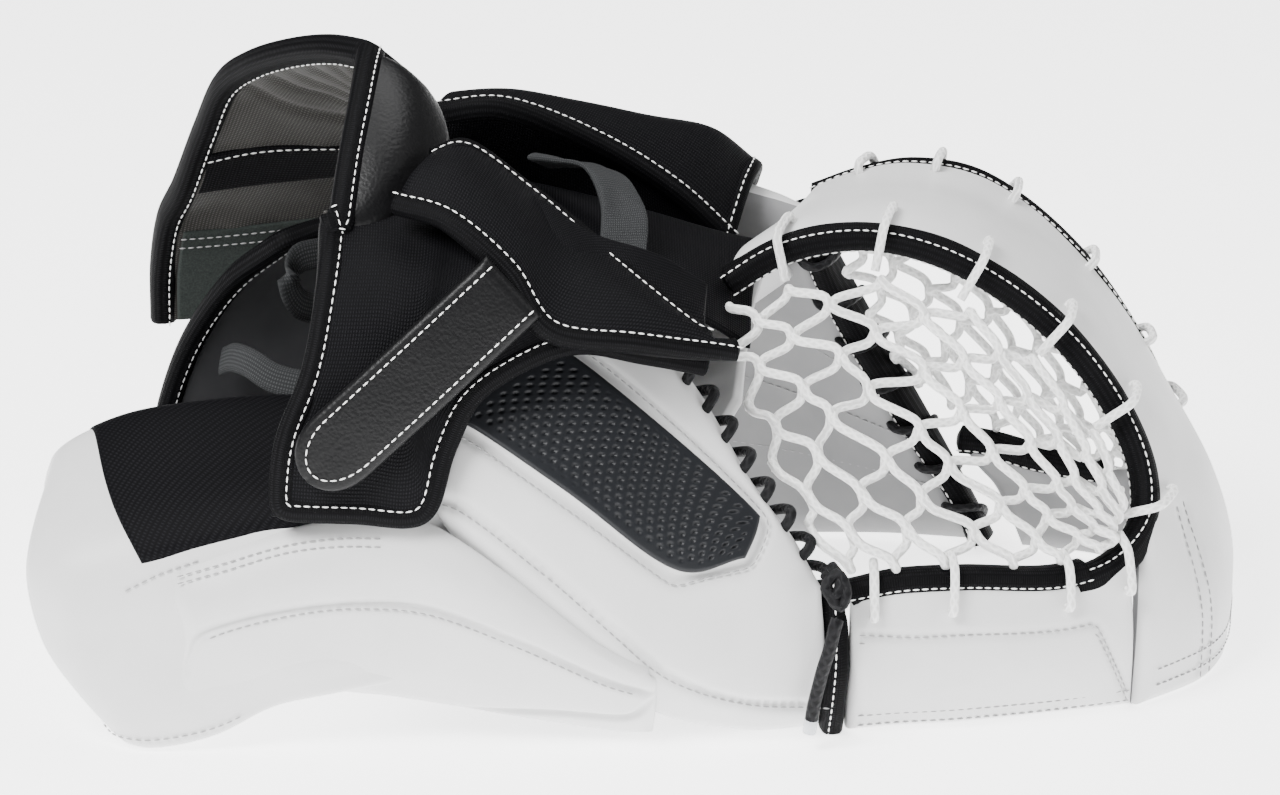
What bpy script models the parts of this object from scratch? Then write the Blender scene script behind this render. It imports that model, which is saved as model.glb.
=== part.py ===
"""Ice hockey goalie catch glove, lying with its pocket mouth down on the floor.

X runs along the glove from the cuff (-X) to the tip of the T web (+X), the thumb side is -Y,
the finger side is +Y and the floor is Z = 0.  Every soft panel is a stack of separate layers
lofted from one smooth surface, so neighbouring layers keep the same small gap everywhere.
Control points are in millimetres and are turned into metres once, in make_mesh and make_tube.
"""
import bpy
import numpy as np

MM = 0.001
OBJECT_NAME = "goalie_catch_glove"

# ---- driving dimensions (millimetres) -------------------------------------------------------
GAP = 0.4                # clearance between neighbouring layers
LEATHER = 2.0            # outer leather skins
LINING = 1.6             # inner linings
STIFFENER = 1.8          # plastic sheet inside the thumb and finger guards
THUMB_FOAM = 8.5
FINGER_FOAM = 9.0
HEEL_FOAM = 5.0
RIM_FOAM = 6.0
WEB_FOAM = 3.5
NYLON = 3.0              # padded nylon of the wrist wrap
BINDING_R = 4.6          # rolled edge binding of the pocket and wrap
TRIM_R = 3.4             # narrower bindings
LACE_R = 2.5             # 5 mm round lace
STRAP_W = 27.0           # wrist strap width
STRAP_T = 3.2            # wrist strap thickness
HOOK_T = 1.2             # hook pile under the strap's tip
HOOK_MARGIN = 3.0        # leather left bare beside the hook pile
NET_SHEET = 5.0          # web netting thickness, one lace
ORIGIN_SHIFT = (2.0, 9.0, -0.9)   # brings the origin to the middle of the base

# ---- materials: name -> (colour, roughness, metallic) ---------------------------------------
PALETTE = {
    "white_leather": ((0.86, 0.86, 0.85), 0.42, 0.0),
    "black_leather": ((0.020, 0.020, 0.022), 0.38, 0.0),
    "dimpled_black": ((0.035, 0.036, 0.040), 0.50, 0.0),
    "black_nylon": ((0.016, 0.016, 0.018), 0.80, 0.0),
    "black_binding": ((0.012, 0.012, 0.013), 0.70, 0.0),
    "grey_lining": ((0.115, 0.110, 0.100), 0.75, 0.0),
    "grey_webbing": ((0.150, 0.155, 0.160), 0.80, 0.0),
    "loop_patch": ((0.085, 0.100, 0.095), 0.95, 0.0),
    "white_lining": ((0.70, 0.70, 0.70), 0.60, 0.0),
    "foam": ((0.30, 0.30, 0.31), 0.90, 0.0),
    "plastic": ((0.55, 0.56, 0.58), 0.45, 0.0),
    "white_lace": ((0.88, 0.88, 0.87), 0.75, 0.0),
    "black_lace": ((0.014, 0.014, 0.015), 0.60, 0.0),
    "aglet_plastic": ((0.62, 0.64, 0.66), 0.20, 0.0),
}

# ---- control cages (millimetres) ------------------------------------------------------------
# Thumb guard: from the wrist wrap to the laced break, each row from its upper to its lower edge.
THUMB = [
    [(-26, -66, 150), (-40, -80, 143), (-62, -96, 122), (-72, -104, 92), (-64, -99, 74)],
    [(-14, -69, 145), (-24, -84, 136), (-50, -100, 116), (-60, -108, 89), (-46, -103, 62)],
    [(16, -76, 130), (2, -91, 115), (-16, -108, 92), (-32, -113, 65), (-22, -103, 36)],
    [(42, -90, 93), (37, -101, 84), (16, -111, 66), (0, -115, 38), (4, -103, 10)],
    [(56, -95, 74), (52, -104, 63), (43, -110, 47), (37, -111, 23), (36, -100, 1)],
    [(65, -98, 57), (66, -103, 44), (66, -105, 29), (65, -102, 14), (64, -96, 1)],
]
# Leather between the cuff and the thumb guard, each row from its upper edge to its lower.
HEEL = [
    [(-69, -100, 66), (-70, -103, 40), (-69, -98, 18)],
    [(-50, -101, 52), (-50, -103, 33), (-50, -98, 16)],
    [(-30, -101, 31), (-30, -102, 20), (-30, -98, 11)],
    [(-14, -99, 15), (-13, -99, 10), (-12, -97, 5)],
]
# Rim from the break to the tip of the T, each row from its upper edge to the floor.
NEAR_RIM = [
    [(73, -99, 55), (73, -104, 30), (73, -97, 1)],
    [(90, -98, 58), (90, -102, 30), (90, -93, 1)],
    [(113, -95, 58), (112, -99, 30), (112, -90, 1)],
    [(145, -87, 55), (145, -91, 29), (144, -82, 1)],
    [(171, -77, 59), (173, -80, 31), (173, -74, 1)],
]
FINGER = [
    [(-66, 64, 132), (-70, 86, 110), (-72, 95, 82), (-70, 96, 52), (-66, 90, 24)],
    [(-24, 66, 143), (-28, 90, 118), (-29, 102, 84), (-28, 103, 45), (-26, 95, 8)],
    [(10, 67, 151), (8, 94, 122), (8, 107, 86), (8, 108, 43), (8, 99, 1)],
    [(34, 69, 151), (38, 94, 118), (44, 106, 80), (50, 106, 40), (56, 97, 1)],
    [(50, 71, 146), (61, 90, 110), (73, 100, 73), (85, 100, 37), (97, 92, 3)],
    [(62, 74, 139), (80, 84, 103), (98, 91, 68), (116, 92, 34), (132, 85, 4)],
]
FAR_RIM = [
    [(122, 93, 42), (134, 93, 24), (146, 81, 1)],
    [(136, 91, 40), (146, 90, 23), (155, 78, 1)],
    [(152, 86, 37), (159, 86, 21), (165, 74, 1)],
    [(168, 80, 33), (172, 79, 19), (176, 69, 1)],
    [(180, 72, 31), (184, 72, 18), (186, 64, 1)],
]
# The T web: from its laced end over the top and down the tip, each row from near to far edge.
T_WEB = [
    [(33, -39, 137), (36, -18, 146), (45, 3, 150), (54, 22, 151), (63, 40, 148)],
    [(50, -40, 149), (55, -18, 157), (63, 3, 160), (72, 22, 160), (80, 41, 154)],
    [(77, -40, 156), (81, -18, 164), (87, 3, 167), (93, 22, 166), (99, 42, 158)],
    [(102, -42, 152), (107, -18, 160), (112, 3, 163), (118, 22, 162), (123, 43, 155)],
    [(124, -44, 140), (131, -18, 148), (136, 3, 151), (140, 22, 151), (144, 42, 144)],
    [(144, -48, 122), (152, -20, 129), (158, 3, 132), (161, 22, 132), (163, 41, 127)],
    [(159, -54, 101), (171, -22, 108), (177, 3, 110), (179, 22, 109), (178, 41, 105)],
    [(171, -62, 80), (185, -28, 85), (192, 1, 86), (193, 22, 85), (189, 44, 82)],
    [(178, -68, 60), (195, -37, 60), (204, -6, 59), (204, 21, 58), (195, 52, 57)],
    [(181, -74, 32), (202, -46, 32), (211, -12, 32), (211, 20, 31), (194, 61, 30)],
    [(181, -70, 1), (201, -48, 1), (211, -14, 1), (210, 20, 1), (193, 58, 1)],
]
PALM = [
    [(-66, -66, 40), (-66, -34, 43), (-66, 0, 44), (-66, 34, 43), (-66, 62, 42)],
    [(-44, -72, 44), (-44, -38, 54), (-44, 0, 58), (-44, 38, 56), (-44, 70, 48)],
    [(-12, -70, 64), (-12, -38, 78), (-12, 0, 83), (-12, 40, 82), (-12, 74, 66)],
    [(18, -62, 92), (18, -34, 106), (18, 0, 112), (18, 40, 112), (18, 74, 94)],
    [(36, -48, 112), (38, -28, 122), (42, 0, 128), (48, 30, 130), (54, 58, 118)],
]
HAND_BACK = [
    [(-88, -52, 150), (-88, -24, 158), (-88, 0, 160), (-88, 22, 158), (-88, 46, 148)],
    [(-50, -52, 152), (-50, -26, 162), (-50, 0, 165), (-50, 24, 163), (-50, 50, 150)],
    [(-12, -50, 142), (-12, -26, 152), (-12, 0, 155), (-12, 26, 153), (-12, 50, 142)],
    [(22, -44, 130), (22, -24, 138), (23, 0, 140), (26, 22, 139), (30, 44, 132)],
]
BACK_PAD = [
    [(-66, 14, 186), (-66, 34, 188), (-67, 56, 178), (-68, 76, 160), (-69, 88, 142)],
    [(-41, 14, 186), (-41, 36, 189), (-42, 60, 180), (-43, 82, 162), (-44, 95, 142)],
    [(-8, 20, 165), (-4, 42, 178), (-3, 64, 174), (-3, 84, 162), (-4, 97, 146)],
    [(18, 26, 148), (22, 48, 167), (24, 66, 169), (24, 82, 162), (24, 92, 150)],
    [(33, 31, 140), (38, 52, 155), (41, 66, 159), (42, 78, 155), (42, 86, 147)],
]
GAUNTLET = [
    [(-92, -17, 224), (-86, -14, 218), (-80, -10, 210)],
    [(-106, -3, 222), (-95, -1, 216), (-82, 2, 205)],
    [(-121, 13, 216), (-104, 15, 210), (-84, 16, 200)],
    [(-136, 29, 207), (-114, 31, 203), (-88, 31, 195)],
    [(-148, 43, 195), (-122, 46, 194), (-92, 46, 188)],
    [(-157, 55, 174), (-130, 60, 176), (-98, 62, 174)],
    [(-166, 65, 150), (-138, 72, 152), (-104, 74, 154)],
    [(-173, 74, 134), (-145, 81, 134), (-108, 82, 136)],
    [(-177, 82, 112), (-149, 88, 112), (-110, 89, 114)],
    [(-178, 88, 90), (-150, 93, 90), (-110, 94, 92)],
]
TONGUE = [
    [(-168, 54, 86), (-138, 60, 87), (-108, 64, 88)],
    [(-160, 52, 100), (-134, 58, 102), (-108, 62, 103)],
    [(-147, 45, 118), (-126, 51, 120), (-106, 55, 122)],
    [(-132, 37, 133), (-118, 42, 136), (-104, 46, 138)],
]
# Wrist flap: from its free left edge to the thumb, each row from its lower to its upper edge.
FLAP = [
    [(-117, -114, 93), (-115, -112, 115), (-110, -107, 136), (-105, -99, 158), (-102, -86, 178)],
    [(-92, -116, 93), (-90, -114, 115), (-88, -109, 137), (-85, -100, 158), (-84, -85, 176)],
    [(-71, -115, 93), (-75, -114, 115), (-73, -109, 137), (-69, -101, 157), (-66, -86, 174)],
    [(-62, -114, 111), (-69, -112, 127), (-67, -107, 142), (-61, -99, 158), (-55, -85, 172)],
    [(-51, -112, 131), (-50, -110, 141), (-42, -107, 150), (-39, -99, 160), (-38, -84, 171)],
    [(-22, -105, 144), (-20, -102, 150), (-18, -97, 157), (-16, -88, 165), (-14, -74, 172)],
    [(3, -98, 138), (4, -95, 144), (5, -90, 150), (6, -82, 157), (8, -70, 163)],
    [(24, -92, 132), (24, -89, 137), (24, -84, 142), (24, -77, 147), (25, -67, 151)],
]
# Leather roll above the flap: from its left edge to its right, each row from lower to upper.
FLAP_ROLL = [
    [(-101, -82, 185), (-98, -66, 200), (-95, -48, 214), (-93, -32, 223)],
    [(-89, -74, 194), (-86, -62, 203), (-83, -46, 214), (-82, -31, 217)],
    [(-76, -64, 200), (-73, -56, 203), (-72, -44, 207), (-74, -30, 209)],
]
# Band across the back of the hand: from the wrist to the T, each row from lower to upper edge.
BAND = [
    [(-86, -94, 182), (-81, -82, 188), (-75, -70, 191)],
    [(-68, -98, 181), (-66, -82, 192), (-62, -62, 194)],
    [(-48, -101, 172), (-43, -84, 184), (-39, -60, 190)],
    [(-28, -107, 164), (-21, -91, 177), (-15, -70, 181)],
    [(-4, -106, 157), (0, -94, 166), (5, -78, 170)],
    [(24, -101, 147), (25, -93, 153), (26, -83, 157)],
]
# Cuff cross sections, wrist end first, as (x, border z, crest z, wall z, keel z, inset).
CUFF_STATIONS = [
    (-195, 58, 80, 36, 12, 16),
    (-180, 64, 88, 36, 6, 4),
    (-150, 74, 96, 42, 9, 0),
    (-122, 83, 101, 48, 16, 0),
    (-96, 86, 102, 50, 18, 0),
    (-76, 84, 98, 48, 17, 3),
]
STRAP_ROOT = np.array((-47.0, -121.0, 156.0))
STRAP_TIP = np.array((-103.0, -126.0, 104.0))
# share of the strap's length and of its full width there
STRAP_OUTLINE = [(0, 1.0), (0.25, 1.0), (0.5, 1.0), (0.72, 1.0), (0.86, 0.98), (0.94, 0.80),
                 (1.0, 0.40)]
BREAK_KNOT = [(70, -109, 62), (69, -112, 56), (68, -112, 50)]
# free end of the break lace, from the knot down to where its plastic tip starts
LACE_TAIL = [(67.0, -113.4, 47.0), (65.5, -114.0, 40.0), (63.5, -113.5, 33.0),
             (62.0, -112.5, 26.0), (60.5, -112.0, 19.0), (59.5, -111.5, 12.0)]
AGLET_LENGTH = 5.0
CUFF_FLARE = 24.0        # how far the wrist end leans outwards at the top
CUFF_FLOOR = 34.0        # height of the channel's floor under the wrist

# Side of the near web (from its laced corner round the window), and of the far web.
NEAR_NET = [
    [(34, -56, 126), (52, -50, 137), (76, -49, 145), (100, -50, 141), (120, -52, 131)],
    [(36, -66, 112), (56, -62, 120), (78, -60, 124), (108, -60, 118), (136, -58, 106)],
    [(48, -73, 96), (64, -71, 101), (86, -70, 102), (118, -69, 95), (148, -65, 84)],
    [(66, -79, 80), (80, -78, 83), (98, -77, 83), (126, -75, 78), (155, -71, 71)],
]
FAR_NET = [
    [(70, 50, 136), (92, 52, 144), (116, 53, 142), (136, 52, 132), (154, 51, 117)],
    [(82, 60, 118), (100, 61, 122), (122, 62, 120), (144, 60, 110), (163, 57, 98)],
    [(94, 68, 98), (110, 69, 100), (130, 69, 97), (152, 67, 88), (169, 62, 80)],
    [(106, 74, 78), (120, 75, 78), (138, 74, 75), (158, 71, 68), (172, 66, 62)],
]

OUT_NEAR = (0, -1, 0.25)
OUT_FAR = (0, 1, 0.25)
OUT_UP = (0, 0, 1)


# ---- surfaces -------------------------------------------------------------------------------
def spline(points, steps):
    """Catmull-Rom curve through rows of points, with `steps` pieces per span."""
    points = np.asarray(points, float)
    first = 2 * points[0] - points[1]
    last = 2 * points[-1] - points[-2]
    held = np.concatenate([[first], points, [last]])
    out = []
    for i in range(len(points) - 1):
        a, b, c, d = held[i:i + 4]
        for k in range(steps):
            t = k / steps
            out.append(0.5 * (2 * b + (c - a) * t + (2 * a - 5 * b + 4 * c - d) * t ** 2
                              + (3 * b - a - 3 * c + d) * t ** 3))
    out.append(points[-1])
    return np.array(out)


def surface(cage, along=1, across=2):
    """Smooth grid through a control cage."""
    rows = spline(cage, along)
    return np.swapaxes(spline(np.swapaxes(rows, 0, 1), across), 0, 1)


def normals(grid, outward):
    """Unit normals of a grid, on the side that faces `outward`."""
    n = np.cross(np.gradient(grid, axis=0), np.gradient(grid, axis=1))
    n /= np.linalg.norm(n, axis=2, keepdims=True)
    if (n * np.asarray(outward, float)).sum() < 0:
        n = -n
    return n


def offset(grid, outward, depth):
    """The grid moved `depth` below its outer face."""
    return grid - normals(grid, outward) * depth


def inset(grid, first_row=0.0, last_row=0.0, first_col=0.0, last_col=0.0):
    """The grid with its border rows and columns pulled inwards by the given distances."""
    grid = grid.copy()

    def pull(edge, inner, distance):
        along = np.gradient(edge, axis=0)
        along /= np.linalg.norm(along, axis=1, keepdims=True)
        step = inner - edge
        step -= along * (step * along).sum(axis=1, keepdims=True)
        return edge + step * distance / np.linalg.norm(step, axis=1, keepdims=True)

    grid[0] = pull(grid[0], grid[1], first_row)
    grid[-1] = pull(grid[-1], grid[-2], last_row)
    grid[:, 0] = pull(grid[:, 0], grid[:, 1], first_col)
    grid[:, -1] = pull(grid[:, -1], grid[:, -2], last_col)
    return grid


# ---- scene helpers --------------------------------------------------------------------------
def clear_scene():
    for obj in list(bpy.data.objects):
        bpy.data.objects.remove(obj)


def make_materials():
    made = {}
    for name, (colour, roughness, metallic) in PALETTE.items():
        material = bpy.data.materials.new(name)
        material.use_nodes = True
        shader = material.node_tree.nodes["Principled BSDF"]
        shader.inputs["Base Color"].default_value = (*colour, 1.0)
        shader.inputs["Roughness"].default_value = roughness
        shader.inputs["Metallic"].default_value = metallic
        made[name] = material
    return made


def make_object(name, data, material):
    obj = bpy.data.objects.new(name, data)
    data.materials.append(MATERIALS[material])
    COLLECTION.objects.link(obj)
    return obj


def grid_faces(rows, cols, start, flip):
    """Triangles over a grid of points whose first index is `start`, always on one diagonal."""
    faces = []
    for i in range(rows - 1):
        for j in range(cols - 1):
            a = start + i * cols + j
            b, c, d = a + cols, a + cols + 1, a + 1
            faces += [(a, b, c), (a, c, d)]
    return [face[::-1] for face in faces] if flip else faces


def rim_loop(rows, cols):
    """Indices round the border of a grid."""
    return ([j for j in range(cols)] + [i * cols + cols - 1 for i in range(1, rows)]
            + [(rows - 1) * cols + j for j in range(cols - 2, -1, -1)]
            + [i * cols for i in range(rows - 2, 0, -1)])


def make_loft(name, points, faces, material):
    """A closed mesh from lofted faces, turned to face out."""
    corners = np.array([[points[i] for i in face[:3]] for face in faces])
    volume = np.einsum("ij,ij->i", corners[:, 0], np.cross(corners[:, 1], corners[:, 2])).sum()
    if volume < 0:
        faces = [face[::-1] for face in faces]
    mesh = bpy.data.meshes.new(name)
    mesh.from_pydata([tuple((p + ORIGIN_SHIFT) * MM) for p in points], [], faces)
    return make_object(name, mesh, material)


def make_layer(name, grid, outward, depth, thickness, material):
    """A closed layer of a panel: its top lies `depth` below the grid."""
    inward = -normals(grid, outward)
    top = grid + inward * depth
    under = grid + inward * (depth + thickness)
    rows, cols = grid.shape[:2]
    count = rows * cols
    loop = rim_loop(rows, cols)
    walls = []
    for a, b in zip(loop, loop[1:] + loop[:1]):
        walls += [(a, b, b + count), (a, b + count, a + count)]
    faces = grid_faces(rows, cols, 0, False) + grid_faces(rows, cols, count, True) + walls
    points = np.concatenate([top.reshape(-1, 3), under.reshape(-1, 3)])
    return make_loft(name, points, faces, material)


def make_tube(name, path, radius, material, resolution=1):
    """A round roll along a path, with filled ends."""
    curve = bpy.data.curves.new(name, "CURVE")
    curve.dimensions = "3D"
    curve.bevel_depth = radius * MM
    curve.bevel_resolution = resolution
    curve.use_fill_caps = True
    line = curve.splines.new("POLY")
    line.points.add(len(path) - 1)
    for point, position in zip(line.points, path):
        point.co = (*((np.asarray(position, float) + ORIGIN_SHIFT) * MM), 1.0)
    return make_object(name, curve, material)


def make_stack(prefix, grid, outward, layers):
    """Layers of one panel from its outer face inwards: (name, thickness, material)."""
    depth = 0.0
    for name, thickness, material in layers:
        make_layer(f"{prefix}_{name}", grid, outward, depth, thickness, material)
        depth += thickness + GAP
    return depth


def edge_centre(grid, outward, depth, edge):
    """Centre line of a binding that closes one edge of a stack `depth` thick."""
    middle = offset(grid, outward, depth / 2)
    return {"top": middle[:, 0], "bottom": middle[:, -1], "start": middle[0],
            "end": middle[-1]}[edge]


# ---- sub-assemblies -------------------------------------------------------------------------
def make_thumb():
    full = surface(THUMB)
    grid = inset(full, last_row=TRIM_R + 2 * GAP)
    make_stack("thumb", grid, OUT_NEAR, [
        ("leather", LEATHER, "white_leather"), ("foam", THUMB_FOAM, "foam"),
        ("stiffener", STIFFENER, "plastic"), ("lining", LINING, "white_lining")])
    make_tube("thumb_break_binding", edge_centre(full, OUT_NEAR, 2 * TRIM_R, "end"),
              TRIM_R, "black_binding")
    panel = surface(THUMB, 2, 2)[2:7, 2:5]
    heel = surface(HEEL, 2, 2)
    make_stack("heel", heel, OUT_NEAR, [
        ("leather", LEATHER, "white_leather"), ("foam", HEEL_FOAM, "foam")])
    make_layer("thumb_panel", panel, OUT_NEAR, -LEATHER - GAP, LEATHER, "dimpled_black")


def make_rim(side, cage, outward):
    full = surface(cage, 2, 2)
    grid = inset(full, first_col=BINDING_R + GAP)
    depth = make_stack(f"{side}_rim", grid, outward, [
        ("leather", LEATHER, "white_leather"), ("foam", RIM_FOAM, "foam"),
        ("lining", LINING, "white_lining")])
    make_tube(f"{side}_rim_binding", edge_centre(full, outward, depth, "top"),
              BINDING_R, "black_binding")


def make_finger_guard():
    full = surface(FINGER)
    grid = inset(full, last_row=1.5 * TRIM_R)
    make_stack("finger", grid, OUT_FAR, [
        ("leather", LEATHER, "white_leather"), ("foam", FINGER_FOAM, "foam"),
        ("stiffener", STIFFENER, "plastic"), ("lining", LINING, "white_lining")])
    make_tube("finger_break_binding", edge_centre(full, OUT_FAR, 2 * TRIM_R, "end"),
              TRIM_R, "black_binding")


def make_t_web():
    full = surface(T_WEB, 1, 1)
    margin = BINDING_R + GAP
    grid = inset(full, first_col=margin, last_col=margin)
    depth = make_stack("t_web", grid, (0.5, 0, 1), [
        ("leather", LEATHER, "white_leather"), ("foam", WEB_FOAM, "foam"),
        ("lining", LINING, "white_lining")])
    for side, edge in (("near", "top"), ("far", "bottom")):
        path = edge_centre(full, (0.5, 0, 1), depth, edge)[:-1]
        make_tube(f"t_web_{side}_binding", path, BINDING_R, "black_binding")


def make_nets():
    for side, cage, outward in (("near", NEAR_NET, OUT_NEAR), ("far", FAR_NET, OUT_FAR)):
        grid = surface(cage, 1, 1)
        make_layer(f"{side}_net", grid, outward, 0, NET_SHEET, "white_lace")


def make_hand():
    palm = surface(PALM, 1, 1)
    make_stack("palm", palm, (0, 0, -1), [
        ("leather", LEATHER, "white_leather"), ("lining", LINING, "grey_lining")])
    back = surface(HAND_BACK, 1, 1)
    make_layer("hand_liner", back, OUT_UP, 0, LINING + 1, "black_nylon")
    pad = surface(BACK_PAD, 2, 2)
    trimmed = inset(pad, first_col=TRIM_R + GAP, last_row=TRIM_R + GAP)
    depth = make_stack("back_pad", trimmed, (0, 0.3, 1), [
        ("nylon", LINING, "black_nylon"), ("foam", 2.6, "foam"), ("lining", 1.2, "black_nylon")])
    make_tube("back_pad_binding", edge_centre(pad, (0, 0.3, 1), depth, "top")[:-1],
              TRIM_R, "black_binding")
    make_tube("back_pad_end_trim", edge_centre(pad, (0, 0.3, 1), depth, "end"),
              TRIM_R, "black_binding")
    webbing = surface([[(-38, 14, 172), (-30, 18, 167)], [(-30, 2, 175), (-18, 6, 171)],
                       [(-18, -10, 176), (-4, -6, 171)], [(-12, -28, 168), (4, -24, 163)],
                       [(-12, -44, 158), (4, -40, 153)]], 2, 1)
    make_layer("hand_webbing", webbing, OUT_UP, 0, 2.0, "grey_webbing")


def make_gauntlet():
    full = surface(GAUNTLET, 1, 2)
    grid = inset(full, first_col=BINDING_R + GAP)
    depth = make_stack("gauntlet", grid, (-0.2, 0.6, 0.8), [
        ("nylon", NYLON, "black_nylon"), ("lining", LINING, "grey_lining")])
    make_tube("gauntlet_binding", edge_centre(full, (-0.2, 0.6, 0.8), depth, "top"),
              BINDING_R, "black_binding")
    patch = surface(GAUNTLET, 1, 2)[6:9, 1:4]
    make_layer("gauntlet_loop_patch", patch, (-0.2, 0.6, 0.8), depth, 1.6, "loop_patch")
    tongue = surface(TONGUE, 2, 2)
    grid = inset(tongue, first_col=TRIM_R + GAP, last_row=TRIM_R + GAP)
    depth = make_stack("tongue", grid, OUT_FAR, [
        ("nylon", LINING, "black_nylon"), ("leather_lining", LINING, "black_leather")])
    side = edge_centre(tongue, OUT_FAR, depth, "top")
    top = edge_centre(tongue, OUT_FAR, depth, "end")
    make_tube("tongue_binding", np.concatenate([side, top[1:]]), TRIM_R, "black_binding")


def make_flap():
    full = surface(FLAP, 1, 1)
    grid = inset(full, first_row=BINDING_R + GAP, first_col=BINDING_R + 2 * GAP)
    depth = make_stack("flap", grid, OUT_NEAR, [
        ("nylon", NYLON, "black_nylon"), ("lining", LINING, "grey_lining")])
    roll = surface(FLAP_ROLL, 2, 2)
    make_layer("flap_leather_roll", inset(roll, first_row=BINDING_R + GAP), OUT_NEAR, 0,
               NYLON, "black_leather")
    left = np.concatenate([edge_centre(roll, OUT_NEAR, depth, "start")[::-1],
                           edge_centre(full, OUT_NEAR, depth, "start")[::-1]])
    bottom = edge_centre(full, OUT_NEAR, depth, "top")
    make_tube("flap_binding", np.concatenate([left, bottom[1:]]), BINDING_R, "black_binding")
    band = surface(BAND, 2, 2)
    grid = inset(band, first_col=TRIM_R + GAP, last_col=TRIM_R + GAP)
    depth = make_stack("hand_band", grid, (0, -0.6, 0.8), [
        ("nylon", LINING, "black_nylon"), ("foam", NYLON, "foam")])
    for name, edge in (("lower", "top"), ("upper", "bottom")):
        make_tube(f"hand_band_{name}_binding",
                  edge_centre(band, (0, -0.6, 0.8), depth, edge), TRIM_R, "black_binding")


def make_strap():
    """Leather strap whose root is under the band and whose round tip sticks to the flap."""
    along = (STRAP_TIP - STRAP_ROOT) / np.linalg.norm(STRAP_TIP - STRAP_ROOT)
    inward = np.cross(np.cross((0, -1.0, 0.15), along), along)
    inward /= np.linalg.norm(inward)
    across = np.cross(-inward, along)
    length = np.linalg.norm(STRAP_TIP - STRAP_ROOT)
    rows = []
    for share, half in STRAP_OUTLINE:
        centre = STRAP_ROOT + along * length * share
        rows.append([centre + across * STRAP_W / 2 * half * k for k in (-1, 0, 1)])
    grid = np.array(rows)
    make_layer("strap_leather", grid, -inward, 0, STRAP_T, "black_leather")
    hook = inset(grid[3:6], first_col=HOOK_MARGIN, last_col=HOOK_MARGIN)
    make_layer("strap_hook_patch", hook, -inward, STRAP_T + GAP, HOOK_T, "loop_patch")


def cuff_ring(station):
    """Outer path and inner path of one cross section, both from the near border to the far."""
    x, border, crest, wall, keel, pull = station
    outer = [(-104 + pull, border), (-112 + pull, wall), (-104 + pull, keel + 6),
             (-84 + pull, keel), (-42, keel), (0, keel), (42, keel), (72 - pull, keel + 2),
             (88 - pull, keel + 14), (93 - pull, wall + 4), (84 - pull, border)]
    inner = [(-104 + pull, border), (-80 + pull / 2, (border + crest) / 2 + 3), (-50, crest),
             (-34, crest - 16), (-26, CUFF_FLOOR + 18), (-14, CUFF_FLOOR + 3), (6, CUFF_FLOOR),
             (26, CUFF_FLOOR + 4), (40, CUFF_FLOOR + 20), (54, crest - 26), (84 - pull, border)]
    lean = -CUFF_FLARE if x < CUFF_STATIONS[1][0] + 1 else -CUFF_FLARE * 0.2

    def place(path):
        return np.array([(x + lean * (z / 60.0 - 0.5), y, z) for y, z in path])
    return place(outer), place(inner)


def make_cuff():
    rings = [cuff_ring(station) for station in CUFF_STATIONS]
    outer = spline(np.array([ring[0] for ring in rings]), 1)
    inner = spline(np.array([ring[1] for ring in rings]), 1)
    down = (0, 0, -1)
    make_layer("cuff_leather", inset(outer, first_col=1, last_col=1), down, 0, LEATHER,
               "white_leather")
    make_layer("cuff_lining", inset(inner, first_col=3.5, last_col=3.5), OUT_UP, 0, LINING,
               "black_nylon")
    skin = LEATHER + GAP
    make_cuff_core(offset(outer, down, skin), offset(inner, OUT_UP, LINING + GAP), 5.0)


def make_cuff_core(outer, inner, corner):
    """Foam body between the cuff's two skins, a closed loft of ring sections with end caps."""
    outer = inset(outer, first_col=corner, last_col=corner)
    inner = inset(inner, first_col=corner, last_col=corner)
    rings = np.concatenate([outer, inner[:, ::-1]], axis=1)
    count, around = rings.shape[:2]
    half = outer.shape[1]
    faces = []
    for i in range(count - 1):
        for j in range(around):
            k = (j + 1) % around
            a, b, c, d = i * around + j, i * around + k, (i + 1) * around + k, (i + 1) * around + j
            faces += [(a, b, c), (a, c, d)] if j < half else [(a, b, d), (b, c, d)]
    for j in range(half - 1):
        k = around - 1 - j
        base = (count - 1) * around
        faces += [(j, k, k - 1), (j, k - 1, j + 1)]
        faces += [(base + j + 1, base + k - 1, base + k), (base + j + 1, base + k, base + j)]
    make_loft("cuff_foam", rings.reshape(-1, 3), faces, "foam")


def make_laces():
    make_tube("break_lace", spline(BREAK_KNOT, 3), LACE_R, "black_lace", 2)
    tail = spline(LACE_TAIL, 2)
    make_tube("lace_tail", tail, LACE_R, "black_lace", 2)
    step = (tail[-1] - tail[-2]) / np.linalg.norm(tail[-1] - tail[-2])
    make_tube("lace_aglet", [tail[-1] + step * GAP, tail[-1] + step * AGLET_LENGTH], LACE_R,
              "aglet_plastic", 2)


clear_scene()
COLLECTION = bpy.data.collections.new(OBJECT_NAME)
bpy.context.scene.collection.children.link(COLLECTION)
MATERIALS = make_materials()
make_thumb()
make_rim("near", NEAR_RIM, OUT_NEAR)
make_finger_guard()
make_rim("far", FAR_RIM, OUT_FAR)
make_t_web()
make_nets()
make_hand()
make_gauntlet()
make_flap()
make_strap()
make_cuff()
make_laces()
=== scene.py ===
"""Looks of an ice hockey goalie catch glove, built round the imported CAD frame.

The file is laid out as a Blender add-on and is run as a script.  Control cages are in
millimetres in the maker's frame; ORIGIN_SHIFT takes them to the frame of the CAD.
"""
import math

import bmesh
import bpy
import numpy as np
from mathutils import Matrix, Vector, noise


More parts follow.
